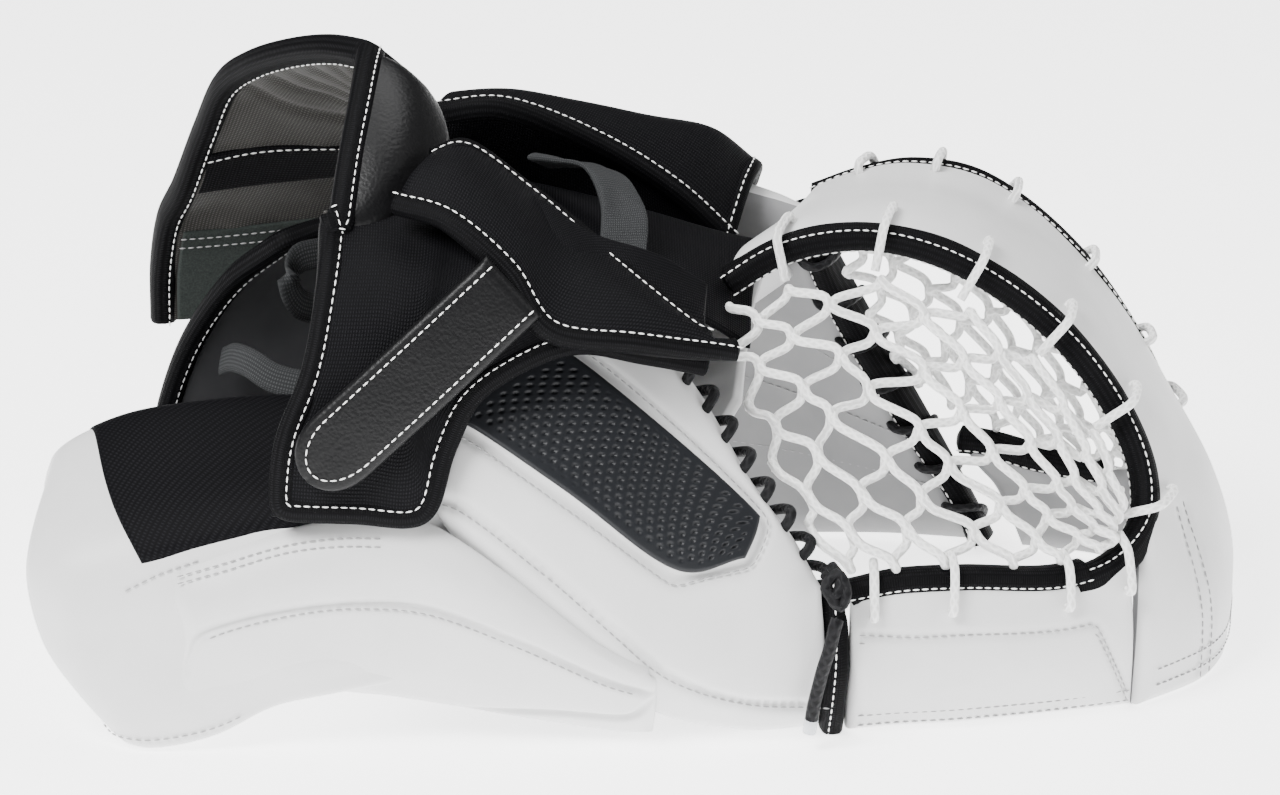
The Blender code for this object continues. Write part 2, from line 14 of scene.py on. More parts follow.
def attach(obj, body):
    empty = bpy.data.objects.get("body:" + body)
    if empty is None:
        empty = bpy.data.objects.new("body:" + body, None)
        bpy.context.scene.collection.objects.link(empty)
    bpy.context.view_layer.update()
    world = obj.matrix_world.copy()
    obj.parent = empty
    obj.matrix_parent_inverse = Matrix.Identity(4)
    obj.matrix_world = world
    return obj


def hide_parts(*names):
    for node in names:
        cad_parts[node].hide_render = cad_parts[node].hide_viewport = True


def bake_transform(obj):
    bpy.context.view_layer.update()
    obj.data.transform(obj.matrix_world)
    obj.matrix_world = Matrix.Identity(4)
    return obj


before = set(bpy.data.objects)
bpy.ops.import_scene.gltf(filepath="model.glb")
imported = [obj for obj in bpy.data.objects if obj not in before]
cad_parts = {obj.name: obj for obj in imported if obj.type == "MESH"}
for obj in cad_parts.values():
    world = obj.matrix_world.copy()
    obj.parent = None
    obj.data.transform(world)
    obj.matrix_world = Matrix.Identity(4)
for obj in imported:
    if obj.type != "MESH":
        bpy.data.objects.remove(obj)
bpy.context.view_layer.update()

bl_info = {
    "name": "Goalie Catch Glove",
    "version": (1, 0, 0),
    "blender": (4, 5, 0),
    "location": "View3D > Sidebar > Catch Glove",
    "description": "Builds the leather, nylon, laces and stitching of a goalie catch glove",
    "category": "Add Mesh",
}

MM = 0.001
ORIGIN_SHIFT = np.array((2.0, 9.0, -0.9))
OUT_NEAR = (0, -1, 0.25)
OUT_FAR = (0, 1, 0.25)
OUT_UP = (0, 0, 1)
OUT_WEB = (0.5, 0, 1)

# ---- control cages (millimetres) ------------------------------------------------------------
# Thumb guard: from the wrist wrap to the laced break, each row from its upper to its lower edge.
THUMB = [
    [(-26, -66, 150), (-40, -80, 143), (-62, -96, 122), (-72, -104, 92), (-64, -99, 74)],
    [(-14, -69, 145), (-24, -84, 136), (-50, -100, 116), (-60, -108, 89), (-46, -103, 62)],
    [(16, -76, 130), (2, -91, 115), (-16, -108, 92), (-32, -113, 65), (-22, -103, 36)],
    [(42, -90, 93), (37, -101, 84), (16, -111, 66), (0, -115, 38), (4, -103, 10)],
    [(56, -95, 74), (52, -104, 63), (43, -110, 47), (37, -111, 23), (36, -100, 1)],
    [(65, -98, 57), (66, -103, 44), (66, -105, 29), (65, -102, 14), (64, -96, 1)],
]
# Side panel of the cuff, running on under the thumb guard's fold; rows from top to bottom.
SIDE = [
    [(-157, -105, 69), (-156, -113, 57), (-153, -115, 42), (-157, -113, 20), (-163, -108, 1)],
    [(-140, -105, 75), (-139, -114, 62), (-137, -116, 49), (-140, -112, 24), (-143, -107, 5)],
    [(-115, -106, 83), (-114, -115, 70), (-113, -117, 55), (-114, -113, 35), (-116, -105, 18)],
    [(-92, -107, 87), (-91, -116, 72), (-90, -117, 57), (-90, -113, 36), (-91, -103, 17)],
    [(-70, -110, 85), (-69, -117, 70), (-68, -117, 55), (-66, -113, 33), (-65, -103, 13)],
    [(-42, -114, 67), (-41, -118, 56), (-39, -118, 44), (-38, -113, 26), (-38, -103, 8)],
    [(-15, -117, 46), (-13, -119, 39), (-11, -118, 31), (-9, -112, 17), (-8, -102, 3)],
    [(5, -117, 34), (6, -118, 30), (7, -116, 25), (7, -110, 14), (6, -101, 2)],
]
NEAR_RIM = [
    [(73, -99, 55), (73, -104, 30), (73, -97, 1)],
    [(90, -98, 58), (90, -102, 30), (90, -93, 1)],
    [(113, -95, 58), (112, -99, 30), (112, -90, 1)],
    [(145, -87, 55), (145, -91, 29), (144, -82, 1)],
    [(171, -77, 59), (173, -80, 31), (173, -74, 1)],
]
FINGER = [
    [(-66, 64, 132), (-70, 86, 110), (-72, 95, 82), (-70, 96, 52), (-66, 90, 24)],
    [(-24, 66, 143), (-28, 90, 118), (-29, 102, 84), (-28, 103, 45), (-26, 95, 8)],
    [(10, 67, 151), (8, 94, 122), (8, 107, 86), (8, 108, 43), (8, 99, 1)],
    [(34, 69, 151), (38, 94, 118), (44, 106, 80), (50, 106, 40), (56, 97, 1)],
    [(50, 71, 146), (61, 90, 110), (73, 100, 73), (85, 100, 37), (97, 92, 3)],
    [(62, 74, 139), (80, 84, 103), (98, 91, 68), (116, 92, 34), (132, 85, 4)],
]
FAR_RIM = [
    [(122, 93, 42), (134, 93, 24), (146, 81, 1)],
    [(136, 91, 40), (146, 90, 23), (155, 78, 1)],
    [(152, 86, 37), (159, 86, 21), (165, 74, 1)],
    [(170, 80, 34), (174, 78, 19), (177, 69, 1)],
    [(187, 70, 37), (189, 69, 18), (190, 63, 1)],
]
# The T web: from its laced end over the top and down the tip, each row from near to far edge.
T_WEB = [
    [(30, -34, 146), (34, -18, 149), (45, 3, 150), (54, 22, 151), (63, 40, 155)],
    [(49, -34, 158), (54, -18, 160), (63, 3, 160), (72, 22, 160), (80, 41, 161)],
    [(77, -34, 163), (81, -18, 165), (87, 3, 164), (93, 22, 163), (99, 42, 164)],
    [(104, -36, 158), (108, -18, 160), (112, 3, 160), (117, 22, 158), (121, 43, 160)],
    [(129, -38, 145), (132, -18, 147), (136, 3, 147), (138, 22, 146), (141, 42, 148)],
    [(151, -41, 127), (154, -20, 128), (157, 3, 128), (159, 22, 127), (161, 41, 129)],
    [(168, -46, 105), (172, -22, 106), (175, 3, 106), (177, 22, 106), (177, 41, 107)],
    [(178, -54, 82), (186, -28, 83), (190, 1, 83), (191, 22, 83), (189, 44, 84)],
    [(177, -71, 60), (195, -37, 60), (204, -6, 59), (204, 21, 59), (195, 52, 61)],
    [(176, -78, 32), (202, -46, 32), (211, -12, 32), (211, 20, 32), (194, 61, 32)],
    [(175, -74, 1), (201, -48, 1), (211, -14, 1), (210, 20, 1), (193, 58, 1)],
]
PALM = [
    [(-74, -72, 36), (-74, -34, 38), (-74, 0, 39), (-74, 34, 38), (-74, 70, 36)],
    [(-44, -76, 40), (-44, -40, 54), (-44, 0, 58), (-44, 38, 56), (-44, 76, 42)],
    [(-12, -79, 54), (-12, -42, 77), (-12, 0, 83), (-12, 40, 80), (-12, 80, 52)],
    [(18, -73, 82), (18, -38, 105), (18, 0, 112), (18, 42, 110), (18, 80, 76)],
    [(37, -58, 108), (40, -30, 122), (44, 0, 128), (50, 32, 130), (58, 66, 112)],
]
HAND_BACK = [
    [(-88, -52, 150), (-88, -24, 158), (-88, 0, 160), (-88, 22, 158), (-88, 46, 148)],
    [(-50, -52, 152), (-50, -26, 162), (-50, 0, 165), (-50, 24, 163), (-50, 50, 150)],
    [(-12, -54, 148), (-12, -26, 156), (-12, 0, 158), (-12, 26, 155), (-12, 50, 142)],
    [(20, -56, 140), (22, -24, 146), (23, 0, 147), (26, 22, 145), (30, 44, 134)],
    [(40, -50, 126), (41, -24, 134), (43, 0, 138), (46, 22, 139), (50, 44, 134)],
]
BACK_PAD = [
    [(-72, 18, 191), (-68, 36, 191), (-67, 56, 179), (-68, 76, 160), (-69, 88, 142)],
    [(-46, 21, 192), (-42, 40, 190), (-42, 60, 180), (-43, 82, 162), (-44, 95, 142)],
    [(-13, 30, 175), (-6, 46, 180), (-3, 64, 174), (-3, 84, 162), (-4, 97, 146)],
    [(14, 34, 156), (22, 50, 166), (26, 66, 168), (26, 82, 161), (25, 92, 150)],
    [(34, 37, 136), (40, 53, 150), (44, 66, 154), (45, 78, 151), (44, 86, 145)],
]
BACK_PAD_WALL = [
    [(-76, 24, 189), (-78, 34, 172), (-80, 42, 148)],
    [(-46, 27, 188), (-46, 38, 170), (-46, 46, 146)],
    [(-13, 36, 171), (-12, 42, 158), (-12, 48, 140)],
    [(14, 40, 152), (16, 44, 144), (18, 48, 130)],
    [(34, 42, 132), (36, 46, 126), (38, 50, 118)],
]
HAND_STRAP = [
    [(-38, 14, 175), (-30, 18, 170)],
    [(-30, 2, 178), (-18, 6, 174)],
    [(-18, -10, 179), (-4, -6, 174)],
    [(-12, -28, 171), (4, -24, 166)],
    [(-12, -44, 161), (4, -40, 156)],
]
GAUNTLET = [
    [(-92, -17, 224), (-86, -14, 218), (-76, -10, 208)],
    [(-106, -3, 222), (-95, -1, 216), (-76, 4, 201)],
    [(-121, 13, 216), (-104, 15, 210), (-76, 18, 193)],
    [(-136, 29, 207), (-114, 31, 203), (-78, 33, 189)],
    [(-148, 43, 195), (-122, 46, 194), (-80, 48, 183)],
    [(-157, 55, 174), (-130, 60, 176), (-84, 64, 172)],
    [(-166, 65, 150), (-138, 72, 152), (-90, 78, 155)],
    [(-173, 74, 134), (-145, 81, 134), (-98, 86, 138)],
    [(-177, 82, 112), (-149, 88, 112), (-104, 92, 114)],
    [(-178, 88, 90), (-150, 93, 90), (-108, 96, 92)],
]
TONGUE = [
    [(-176, 58, 48), (-142, 62, 50), (-108, 66, 52)],
    [(-173, 57, 68), (-140, 62, 70), (-106, 66, 71)],
    [(-163, 54, 95), (-134, 60, 97), (-104, 63, 98)],
    [(-147, 47, 120), (-124, 53, 122), (-102, 56, 124)],
    [(-128, 37, 138), (-112, 44, 141), (-94, 48, 143)],
]
FLAP = [
    [(-122, -115, 88), (-119, -113, 114), (-110, -107, 137), (-105, -98, 162), (-102, -82, 186)],
    [(-94, -117, 88), (-91, -115, 114), (-88, -109, 140), (-86, -95, 168), (-84, -68, 186)],
    [(-70, -117, 88), (-75, -115, 114), (-73, -109, 140), (-69, -94, 170), (-64, -56, 186)],
    [(-62, -114, 111), (-69, -112, 127), (-67, -107, 146), (-59, -94, 170), (-50, -56, 188)],
    [(-51, -112, 131), (-50, -110, 143), (-42, -107, 155), (-37, -95, 171), (-34, -66, 186)],
    [(-22, -105, 144), (-20, -102, 150), (-18, -97, 157), (-16, -88, 165), (-14, -70, 174)],
    [(3, -98, 138), (4, -95, 144), (5, -90, 150), (6, -82, 157), (8, -66, 165)],
    [(24, -92, 132), (24, -89, 137), (24, -84, 142), (24, -77, 147), (25, -62, 153)],
]
FLAP_ROLL = [
    [(-101, -87, 180), (-98, -66, 200), (-95, -48, 214), (-93, -30, 223), (-92, -18, 225)],
    [(-86, -82, 180), (-81, -63, 200), (-78, -46, 211), (-78, -30, 217), (-81, -17, 219)],
    [(-70, -68, 182), (-63, -52, 192), (-61, -38, 196), (-64, -26, 202), (-71, -14, 208)],
]
BAND = [
    [(-81, -88, 190), (-75, -80, 199), (-69, -64, 201)],
    [(-62, -97, 187), (-59, -81, 198), (-56, -58, 202)],
    [(-42, -105, 172), (-39, -86, 184), (-36, -58, 187)],
    [(-28, -111, 153), (-23, -91, 169), (-19, -64, 175)],
    [(1, -110, 148), (2, -100, 158), (3, -82, 161)],
    [(34, -100, 140), (29, -101, 145), (25, -97, 147)],
]
# Cuff cross sections from the wrist end:
# (x at floor, x at mid height, x at crest, inset, border z, crest z, wall z, keel z)
CUFF_STATIONS = [
    (-173, -206, -203, 20, 55, 77, 34, 6),
    (-173, -204, -201, 9, 60, 86, 36, 2),
    (-170, -192, -190, 2, 65, 94, 36, 1),
    (-160, -172, -172, 0, 70, 101, 39, 1),
    (-140, -147, -147, 0, 77, 105, 43, 6),
    (-119, -122, -122, 0, 84, 107, 48, 17),
    (-97, -97, -97, 0, 87, 106, 50, 22),
    (-76, -76, -76, 2, 86, 102, 49, 25),
]
CUFF_FLOOR = 34.0
# Seams of the cuff as (along, around) marks: under the twill's corner, and above its foot.
CUFF_HEM = [(0.44, 0.38), (0.50, 0.30), (0.57, 0.26)]
CUFF_FOOT = [(0.14, 2.25), (0.30, 2.25), (0.45, 2.25), (0.62, 2.3)]
NEAR_NET = [
    [(32, -43, 138), (50, -46, 145), (76, -47, 150), (101, -48, 145), (123, -50, 133),
     (143, -54, 116), (158, -59, 96), (168, -66, 77)],
    [(35, -64, 120), (51, -63, 125), (74, -62, 126), (98, -62, 121), (121, -62, 111),
     (141, -64, 99), (155, -67, 85), (166, -71, 72)],
    [(46, -80, 94), (58, -80, 97), (76, -80, 97), (98, -78, 93), (120, -75, 87),
     (138, -74, 80), (152, -74, 74), (164, -75, 68)],
    [(68, -97, 61), (78, -97, 62), (92, -96, 62), (108, -93, 62), (126, -89, 60),
     (142, -85, 60), (155, -81, 62), (166, -78, 64)],
]
FAR_NET = [
    [(66, 44, 140), (82, 46, 146), (104, 48, 146), (126, 48, 139), (146, 48, 126),
     (162, 47, 109), (175, 47, 90), (186, 51, 66)],
    [(74, 60, 122), (88, 60, 126), (106, 61, 124), (126, 61, 117), (144, 60, 106),
     (160, 60, 92), (172, 60, 74), (182, 62, 54)],
    [(86, 74, 94), (98, 74, 96), (114, 75, 93), (132, 75, 84), (148, 73, 74),
     (162, 71, 63), (173, 70, 52), (182, 69, 42)],
    [(100, 88, 64), (110, 88, 60), (122, 89, 50), (136, 88, 44), (150, 85, 41),
     (162, 80, 38), (173, 75, 35), (182, 72, 33)],
]


# ---- surfaces -------------------------------------------------------------------------------
def weights(count, at):
    """Catmull-Rom weights of `count` control points at parameters from 0 to 1."""
    at = np.clip(np.asarray(at, float), 0, 1) * (count - 1)
    out = np.zeros((len(at), count))
    for row, x in enumerate(at):
        i = min(int(x), count - 2)
        t = x - i
        four = 0.5 * np.array((-t + 2 * t ** 2 - t ** 3, 2 - 5 * t ** 2 + 3 * t ** 3,
                               t + 4 * t ** 2 - 3 * t ** 3, -t ** 2 + t ** 3))
        for k, w in enumerate(four):
            j = i + k - 1
            if j < 0:
                out[row, 0] += 2 * w
                out[row, 1] -= w
            elif j >= count:
                out[row, -1] += 2 * w
                out[row, -2] -= w
            else:
                out[row, j] += w
    return out


def curve_through(points, count):
    """A smooth curve through points, at `count` even parameters."""
    points = np.asarray(points, float)
    return weights(len(points), np.linspace(0, 1, count)) @ points


def even_curve(points, step):
    """A smooth curve through points, resampled at even steps."""
    fine = curve_through(points, len(points) * 16)
    length = np.concatenate([[0], np.cumsum(np.linalg.norm(np.diff(fine, axis=0), axis=1))])
    count = max(2, int(round(length[-1] / step)) + 1)
    at = np.linspace(0, length[-1], count)
    return np.stack([np.interp(at, length, fine[:, k]) for k in range(3)], axis=1)


def crowded(count, share=0.8):
    """Parameters from 0 to 1 that crowd towards both ends, for round edges."""
    x = np.linspace(0, 1, count)
    return (1 - share) * x + share * (0.5 - 0.5 * np.cos(np.pi * x))


def grid_normals(grid, outward):
    """Unit normals of a grid of points, on its outward side."""
    n = np.cross(np.gradient(grid, axis=0), np.gradient(grid, axis=1))
    n /= np.maximum(np.linalg.norm(n, axis=2, keepdims=True), 1e-9)
    if (n * np.asarray(outward, float)).sum() < 0:
        n = -n
    return n


class Patch:
    """A smooth surface through a control cage, read at parameters (u, v) from 0 to 1."""

    def __init__(self, cage, outward):
        self.cage = np.asarray(cage, float)
        self.outward = outward
        marks = [(u, v) for u in np.linspace(0.05, 0.95, 9) for v in np.linspace(0.05, 0.95, 9)]
        self.side = 1.0
        self.side = math.copysign(1.0, (self.normals(marks) * np.asarray(outward, float)).sum())

    def grid(self, us, vs):
        rows = weights(self.cage.shape[0], us)
        cols = weights(self.cage.shape[1], vs)
        return np.einsum("ui,ijk,vj->uvk", rows, self.cage, cols)

    def at(self, marks):
        """The surface point at each (u, v) mark."""
        marks = np.asarray(marks, float)
        rows = weights(self.cage.shape[0], marks[:, 0])
        cols = weights(self.cage.shape[1], marks[:, 1])
        return np.einsum("ni,ijk,nj->nk", rows, self.cage, cols)

    def normals(self, marks):
        marks = np.asarray(marks, float)
        step = np.array((0.004, 0.0))

        def slope(shift):
            return self.at(np.clip(marks + shift, 0, 1)) - self.at(np.clip(marks - shift, 0, 1))
        n = np.cross(slope(step), slope(step[::-1]))
        n /= np.maximum(np.linalg.norm(n, axis=1, keepdims=True), 1e-9)
        return n * self.side

    def points(self, marks, lift=0.0):
        """Surface points raised by `lift` millimetres."""
        return self.at(marks) + self.normals(marks) * lift

    def line(self, marks, lift=0.0, count=60):
        """A smooth line on the surface through (u, v) marks."""
        return self.points(curve_through(marks, count), lift)


def trace(patch, marks, step=1.5, smooth=6):
    """A line on a patch that turns its corners softly: points, normals, inward directions."""
    marks = np.asarray(marks, float)
    legs = [np.linspace(a, b, 40, endpoint=False) for a, b in zip(marks[:-1], marks[1:])]
    fine = np.concatenate(legs + [marks[-1:]])
    run = np.linalg.norm(np.diff(patch.at(fine), axis=0), axis=1)
    run = np.concatenate([[0], np.cumsum(run)])
    at = np.linspace(0, run[-1], max(4, int(run[-1] / step)))
    fine = np.stack([np.interp(at, run, fine[:, 0]), np.interp(at, run, fine[:, 1])], axis=1)
    for _ in range(smooth):
        fine[1:-1] = (fine[:-2] + 2 * fine[1:-1] + fine[2:]) / 4
    points, n = patch.at(fine), patch.normals(fine)
    inward = np.cross(n, np.gradient(points, axis=0))
    inward /= np.linalg.norm(inward, axis=1, keepdims=True)
    centre = patch.at([(0.5, 0.5)])[0]
    if ((centre - points) * inward).sum() < 0:
        inward = -inward
    return points, n, inward


def edge_distance(grid):
    """Distance of each grid point from the nearest edge, along the grid lines."""
    def along(axis):
        step = np.linalg.norm(np.diff(grid, axis=axis), axis=2)
        pad = np.zeros_like(np.take(step, [0], axis=axis))
        run = np.concatenate([pad, np.cumsum(step, axis=axis)], axis=axis)
        return run, np.take(run, [-1], axis=axis) - run
    return np.minimum.reduce([*along(0), *along(1)])


def groove_depth(grid, lines, depth, width):
    """How far stitched grooves along `lines` pull a surface in."""
    total = np.zeros(grid.shape[:2])
    flat = grid.reshape(-1, 3)
    for line in lines:
        best = np.full(len(flat), 1e9)
        for p in line:
            best = np.minimum(best, ((flat - p) ** 2).sum(axis=1))
        total = np.maximum(total, depth * np.exp(-best / width ** 2).reshape(total.shape))
    return total


def wrinkles(grid, size, height, seed):
    """Soft unevenness of a padded skin."""
    out = np.zeros(grid.shape[:2])
    for i, j in np.ndindex(*out.shape):
        p = Vector(grid[i, j]) / size + Vector((seed, 2.0 * seed, 0))
        out[i, j] = height * noise.noise(p)
    return out


# ---- mesh helpers ---------------------------------------------------------------------------
def to_frame(points):
    """Takes points from the maker's millimetres to the metres of the CAD frame."""
    return (np.asarray(points, float) + ORIGIN_SHIFT) * MM


def new_object(name, mesh, material):
    """Puts a mesh in the scene, with its material if it has one."""
    obj = bpy.data.objects.new(name, mesh)
    if material is not None:
        mesh.materials.append(material)
    bpy.context.scene.collection.objects.link(obj)
    return obj


def mesh_object(name, points, faces, uvs, material):
    """A smooth mesh whose UV map is in metres of cloth, for weaves and grain."""
    corners = np.array([[points[i] for i in (face[0], face[1], face[2])] for face in faces])
    volume = np.einsum("ij,ij->i", corners[:, 0],
                       np.cross(corners[:, 1], corners[:, 2])).sum()
    if volume < 0:
        faces = [face[::-1] for face in faces]
    mesh = bpy.data.meshes.new(name)
    mesh.from_pydata([tuple(p) for p in to_frame(points)], [], faces)
    layer = mesh.uv_layers.new(name="cloth")
    order = np.array([i for face in faces for i in face])
    layer.data.foreach_set("uv", (np.asarray(uvs, float)[order] * MM).ravel())
    mesh.polygons.foreach_set("use_smooth", [True] * len(faces))
    mesh.update()
    return new_object(name, mesh, material)


def grid_quads(rows, cols, start, flip):
    """Faces of a grid of points whose first index is `start`."""
    quads = []
    for i in range(rows - 1):
        for j in range(cols - 1):
            a = start + i * cols + j
            quads.append((a, a + cols, a + cols + 1, a + 1))
    return [q[::-1] for q in quads] if flip else quads


def border(rows, cols):
    """Indices once round the border of a grid."""
    return ([j for j in range(cols)] + [i * cols + cols - 1 for i in range(1, rows)]
            + [(rows - 1) * cols + j for j in range(cols - 2, -1, -1)]
            + [i * cols for i in range(rows - 2, 0, -1)])


def grid_uv(grid):
    """Arc lengths along both grid directions."""
    def run(axis):
        step = np.linalg.norm(np.diff(grid, axis=axis), axis=2)
        pad = np.zeros_like(np.take(step, [0], axis=axis))
        return np.concatenate([pad, np.cumsum(step, axis=axis)], axis=axis)
    return np.stack([run(0), run(1)], axis=2)


def close_grid(name, top, under, material, under_material=None):
    """A closed slab between two grids, whose under side may be of another material."""
    rows, cols = top.shape[:2]
    count = rows * cols
    loop = border(rows, cols)
    walls = [(a, b, b + count, a + count) for a, b in zip(loop, loop[1:] + loop[:1])]
    faces = grid_quads(rows, cols, 0, False) + grid_quads(rows, cols, count, True) + walls
    points = np.concatenate([top.reshape(-1, 3), under.reshape(-1, 3)])
    uv = grid_uv(top).reshape(-1, 2)
    obj = mesh_object(name, points, faces, np.concatenate([uv, uv]), material)
    if under_material is not None:
        obj.data.materials.append(under_material)
        per_side = (rows - 1) * (cols - 1)
        for face in obj.data.polygons[per_side:2 * per_side]:
            face.material_index = 1
    return obj


def panel(name, patch, thickness, material, size=(40, 40), edge=3.0, depth=0.0, relief=None,
          span=((0, 1), (0, 1)), under_relief=None, under_material=None):
    """A padded panel with round edges.  `relief` and `under_relief` give its swell in mm."""
    (u0, u1), (v0, v1) = span
    us = u0 + (u1 - u0) * crowded(size[0])
    vs = v0 + (v1 - v0) * crowded(size[1])
    grid = patch.grid(us, vs)
    n = grid_normals(grid, patch.outward)
    away = np.clip(1 - edge_distance(grid) / edge, 0, 1)
    drop = (1 - np.sqrt(1 - away ** 2)) * (thickness / 2 - 0.12)
    swell = relief(grid) if relief else 0.0
    below = under_relief(grid) if under_relief else 0.0
    fade = 1 - away
    top = grid + n * (swell * fade - drop - depth)[..., None]
    under = grid - n * (depth + thickness - drop + below * fade)[..., None]
    return close_grid(name, top, under, material, under_material)


def sweep(name, path, across, radii, material, sides=14, flat_out=0.0):
    """A rounded tape along a path.  `across` gives the direction of its first radius."""
    path = np.asarray(path, float)
    tangent = np.gradient(path, axis=0)
    tangent /= np.linalg.norm(tangent, axis=1, keepdims=True)
    across = np.asarray(across, float)
    if across.ndim == 1:
        across = np.repeat(across[None], len(path), axis=0)
    first = across - tangent * (across * tangent).sum(axis=1, keepdims=True)
    first /= np.linalg.norm(first, axis=1, keepdims=True)
    second = np.cross(tangent, first)
    run = np.concatenate([[0], np.cumsum(np.linalg.norm(np.diff(path, axis=0), axis=1))])
    angles = np.linspace(0, 2 * np.pi, sides, endpoint=False)
    cap = (0.35, 0.75)
    rings, lengths = [], []

    def ring(i, scale, shift):
        a, b = radii[0] * scale, radii[1] * scale
        c, s = np.cos(angles)[:, None], np.sin(angles)[:, None]
        c = np.sign(c) * np.abs(c) ** (1 - flat_out)
        s = np.sign(s) * np.abs(s) ** (1 - flat_out)
        return path[i] + tangent[i] * shift + first[i] * a * c + second[i] * b * s

    small = min(radii)
    for s in cap:
        rings.append(ring(0, s, -small * 0.5 * (1 - s)))
        lengths.append(0)
    for i in range(len(path)):
        rings.append(ring(i, 1.0, 0))
        lengths.append(run[i])
    for s in reversed(cap):
        rings.append(ring(len(path) - 1, s, small * 0.5 * (1 - s)))
        lengths.append(run[-1])
    points = np.concatenate(rings)
    round_it = 2 * np.pi * (radii[0] + radii[1]) / 2
    uvs = [(length, round_it * k / sides) for length in lengths for k in range(sides)]
    faces = []
    for i in range(len(rings) - 1):
        for k in range(sides):
            a, b = i * sides + k, i * sides + (k + 1) % sides
            faces.append((a, b, b + sides, a + sides))
    faces.append(tuple(range(sides))[::-1])
    last = (len(rings) - 1) * sides
    faces.append(tuple(last + k for k in range(sides)))
    return mesh_object(name, points, faces, uvs, material)


def line_object(name, lines):
    """Loose edge lines for the stitch and lace trees to follow."""
    points, edges = [], []
    for line in lines:
        start = len(points)
        points += [tuple(p) for p in to_frame(line)]
        edges += [(start + i, start + i + 1) for i in range(len(line) - 1)]
    mesh = bpy.data.meshes.new(name)
    mesh.from_pydata(points, edges, [])
    return new_object(name, mesh, None)


def socket_id(tree, name):
    """Identifier of a node tree's input, which modifiers are set by."""
    for item in tree.interface.items_tree:
        if item.item_type == "SOCKET" and item.in_out == "INPUT" and item.name == name:
            return item.identifier
    raise ValueError(f"{tree.name} has no input called {name}")


def grow(name, lines, tree, settings, material):
    """Runs a node tree on lines and keeps the result as a plain mesh."""
    guide = line_object(name + "_guide", lines)
    modifier = guide.modifiers.new(tree.name, "NODES")
    modifier.node_group = tree
    for key, value in settings.items():
        modifier[socket_id(tree, key)] = value
    modifier[socket_id(tree, "Material")] = material
    graph = bpy.context.evaluated_depsgraph_get()
    graph.update()
    mesh = bpy.data.meshes.new_from_object(guide.evaluated_get(graph), depsgraph=graph)
    mesh.name = name
    bpy.data.objects.remove(guide)
    mesh.materials.clear()
    mesh.materials.append(material)
    mesh.polygons.foreach_set("use_smooth", [True] * len(mesh.polygons))
    obj = bpy.data.objects.new(name, mesh)
    bpy.context.scene.collection.objects.link(obj)
    return obj


# ---- node trees -----------------------------------------------------------------------------
def tree_with_inputs(name, inputs):
    """An empty geometry tree with a guide input, named number inputs and a material."""
    tree = bpy.data.node_groups.new(name, "GeometryNodeTree")
    tree.is_modifier = True
    tree.interface.new_socket("Guide", in_out="INPUT", socket_type="NodeSocketGeometry")
    for label, default in inputs.items():
        socket = tree.interface.new_socket(label, in_out="INPUT", socket_type="NodeSocketFloat")
        socket.default_value = default
        socket.subtype = "DISTANCE"
    tree.interface.new_socket("Material", in_out="INPUT", socket_type="NodeSocketMaterial")
    tree.interface.new_socket("Piece", in_out="OUTPUT", socket_type="NodeSocketGeometry")
    return tree


def make_stitch_tree():
    """Lock stitches: one short thread pill at every pitch along each guide line."""
    tree = tree_with_inputs("Lock stitches", {
        "Stitch pitch": 0.0031, "Stitch length": 0.0024, "Thread radius": 0.00029})
    group_in = tree.nodes.new("NodeGroupInput")
    group_in.location = (-900, 0)
    to_curve = tree.nodes.new("GeometryNodeMeshToCurve")
    to_curve.label = "Guide lines"
    to_curve.location = (-700, 100)
    resample = tree.nodes.new("GeometryNodeResampleCurve")
    resample.label = "One point per stitch"
    resample.location = (-500, 100)
    resample.mode = "LENGTH"
    tangent = tree.nodes.new("GeometryNodeInputTangent")
    tangent.location = (-500, -150)
    align = tree.nodes.new("FunctionNodeAlignRotationToVector")
    align.label = "Along the seam"
    align.location = (-300, -150)
    align.axis = "X"
    half = tree.nodes.new("ShaderNodeMath")
    half.label = "Half a stitch"
    half.operation = "MULTIPLY"
    half.inputs[1].default_value = 0.5
    half.location = (-500, -350)
    pill_size = tree.nodes.new("ShaderNodeCombineXYZ")
    pill_size.label = "Pill size"
    pill_size.location = (-300, -350)
    pill = tree.nodes.new("GeometryNodeMeshUVSphere")
    pill.label = "Thread pill"
    pill.inputs["Segments"].default_value = 8
    pill.inputs["Rings"].default_value = 5
    pill.inputs["Radius"].default_value = 1.0
    pill.location = (-300, -550)
    place = tree.nodes.new("GeometryNodeInstanceOnPoints")
    place.location = (-50, 100)
    realize = tree.nodes.new("GeometryNodeRealizeInstances")
    realize.location = (150, 100)
    paint = tree.nodes.new("GeometryNodeSetMaterial")
    paint.location = (350, 100)
    group_out = tree.nodes.new("NodeGroupOutput")
    group_out.location = (550, 100)
    link = tree.links.new
    link(group_in.outputs["Guide"], to_curve.inputs["Mesh"])
    link(to_curve.outputs["Curve"], resample.inputs["Curve"])
    link(group_in.outputs["Stitch pitch"], resample.inputs["Length"])
    link(tangent.outputs["Tangent"], align.inputs["Vector"])
    link(group_in.outputs["Stitch length"], half.inputs[0])
    link(half.outputs["Value"], pill_size.inputs["X"])
    link(group_in.outputs["Thread radius"], pill_size.inputs["Y"])
    link(group_in.outputs["Thread radius"], pill_size.inputs["Z"])
    link(resample.outputs["Curve"], place.inputs["Points"])
    link(pill.outputs["Mesh"], place.inputs["Instance"])
    link(align.outputs["Rotation"], place.inputs["Rotation"])
    link(pill_size.outputs["Vector"], place.inputs["Scale"])
    link(place.outputs["Instances"], realize.inputs["Geometry"])
    link(realize.outputs["Geometry"], paint.inputs["Geometry"])
    link(group_in.outputs["Material"], paint.inputs["Material"])
    link(paint.outputs["Geometry"], group_out.inputs["Piece"])
    return tree


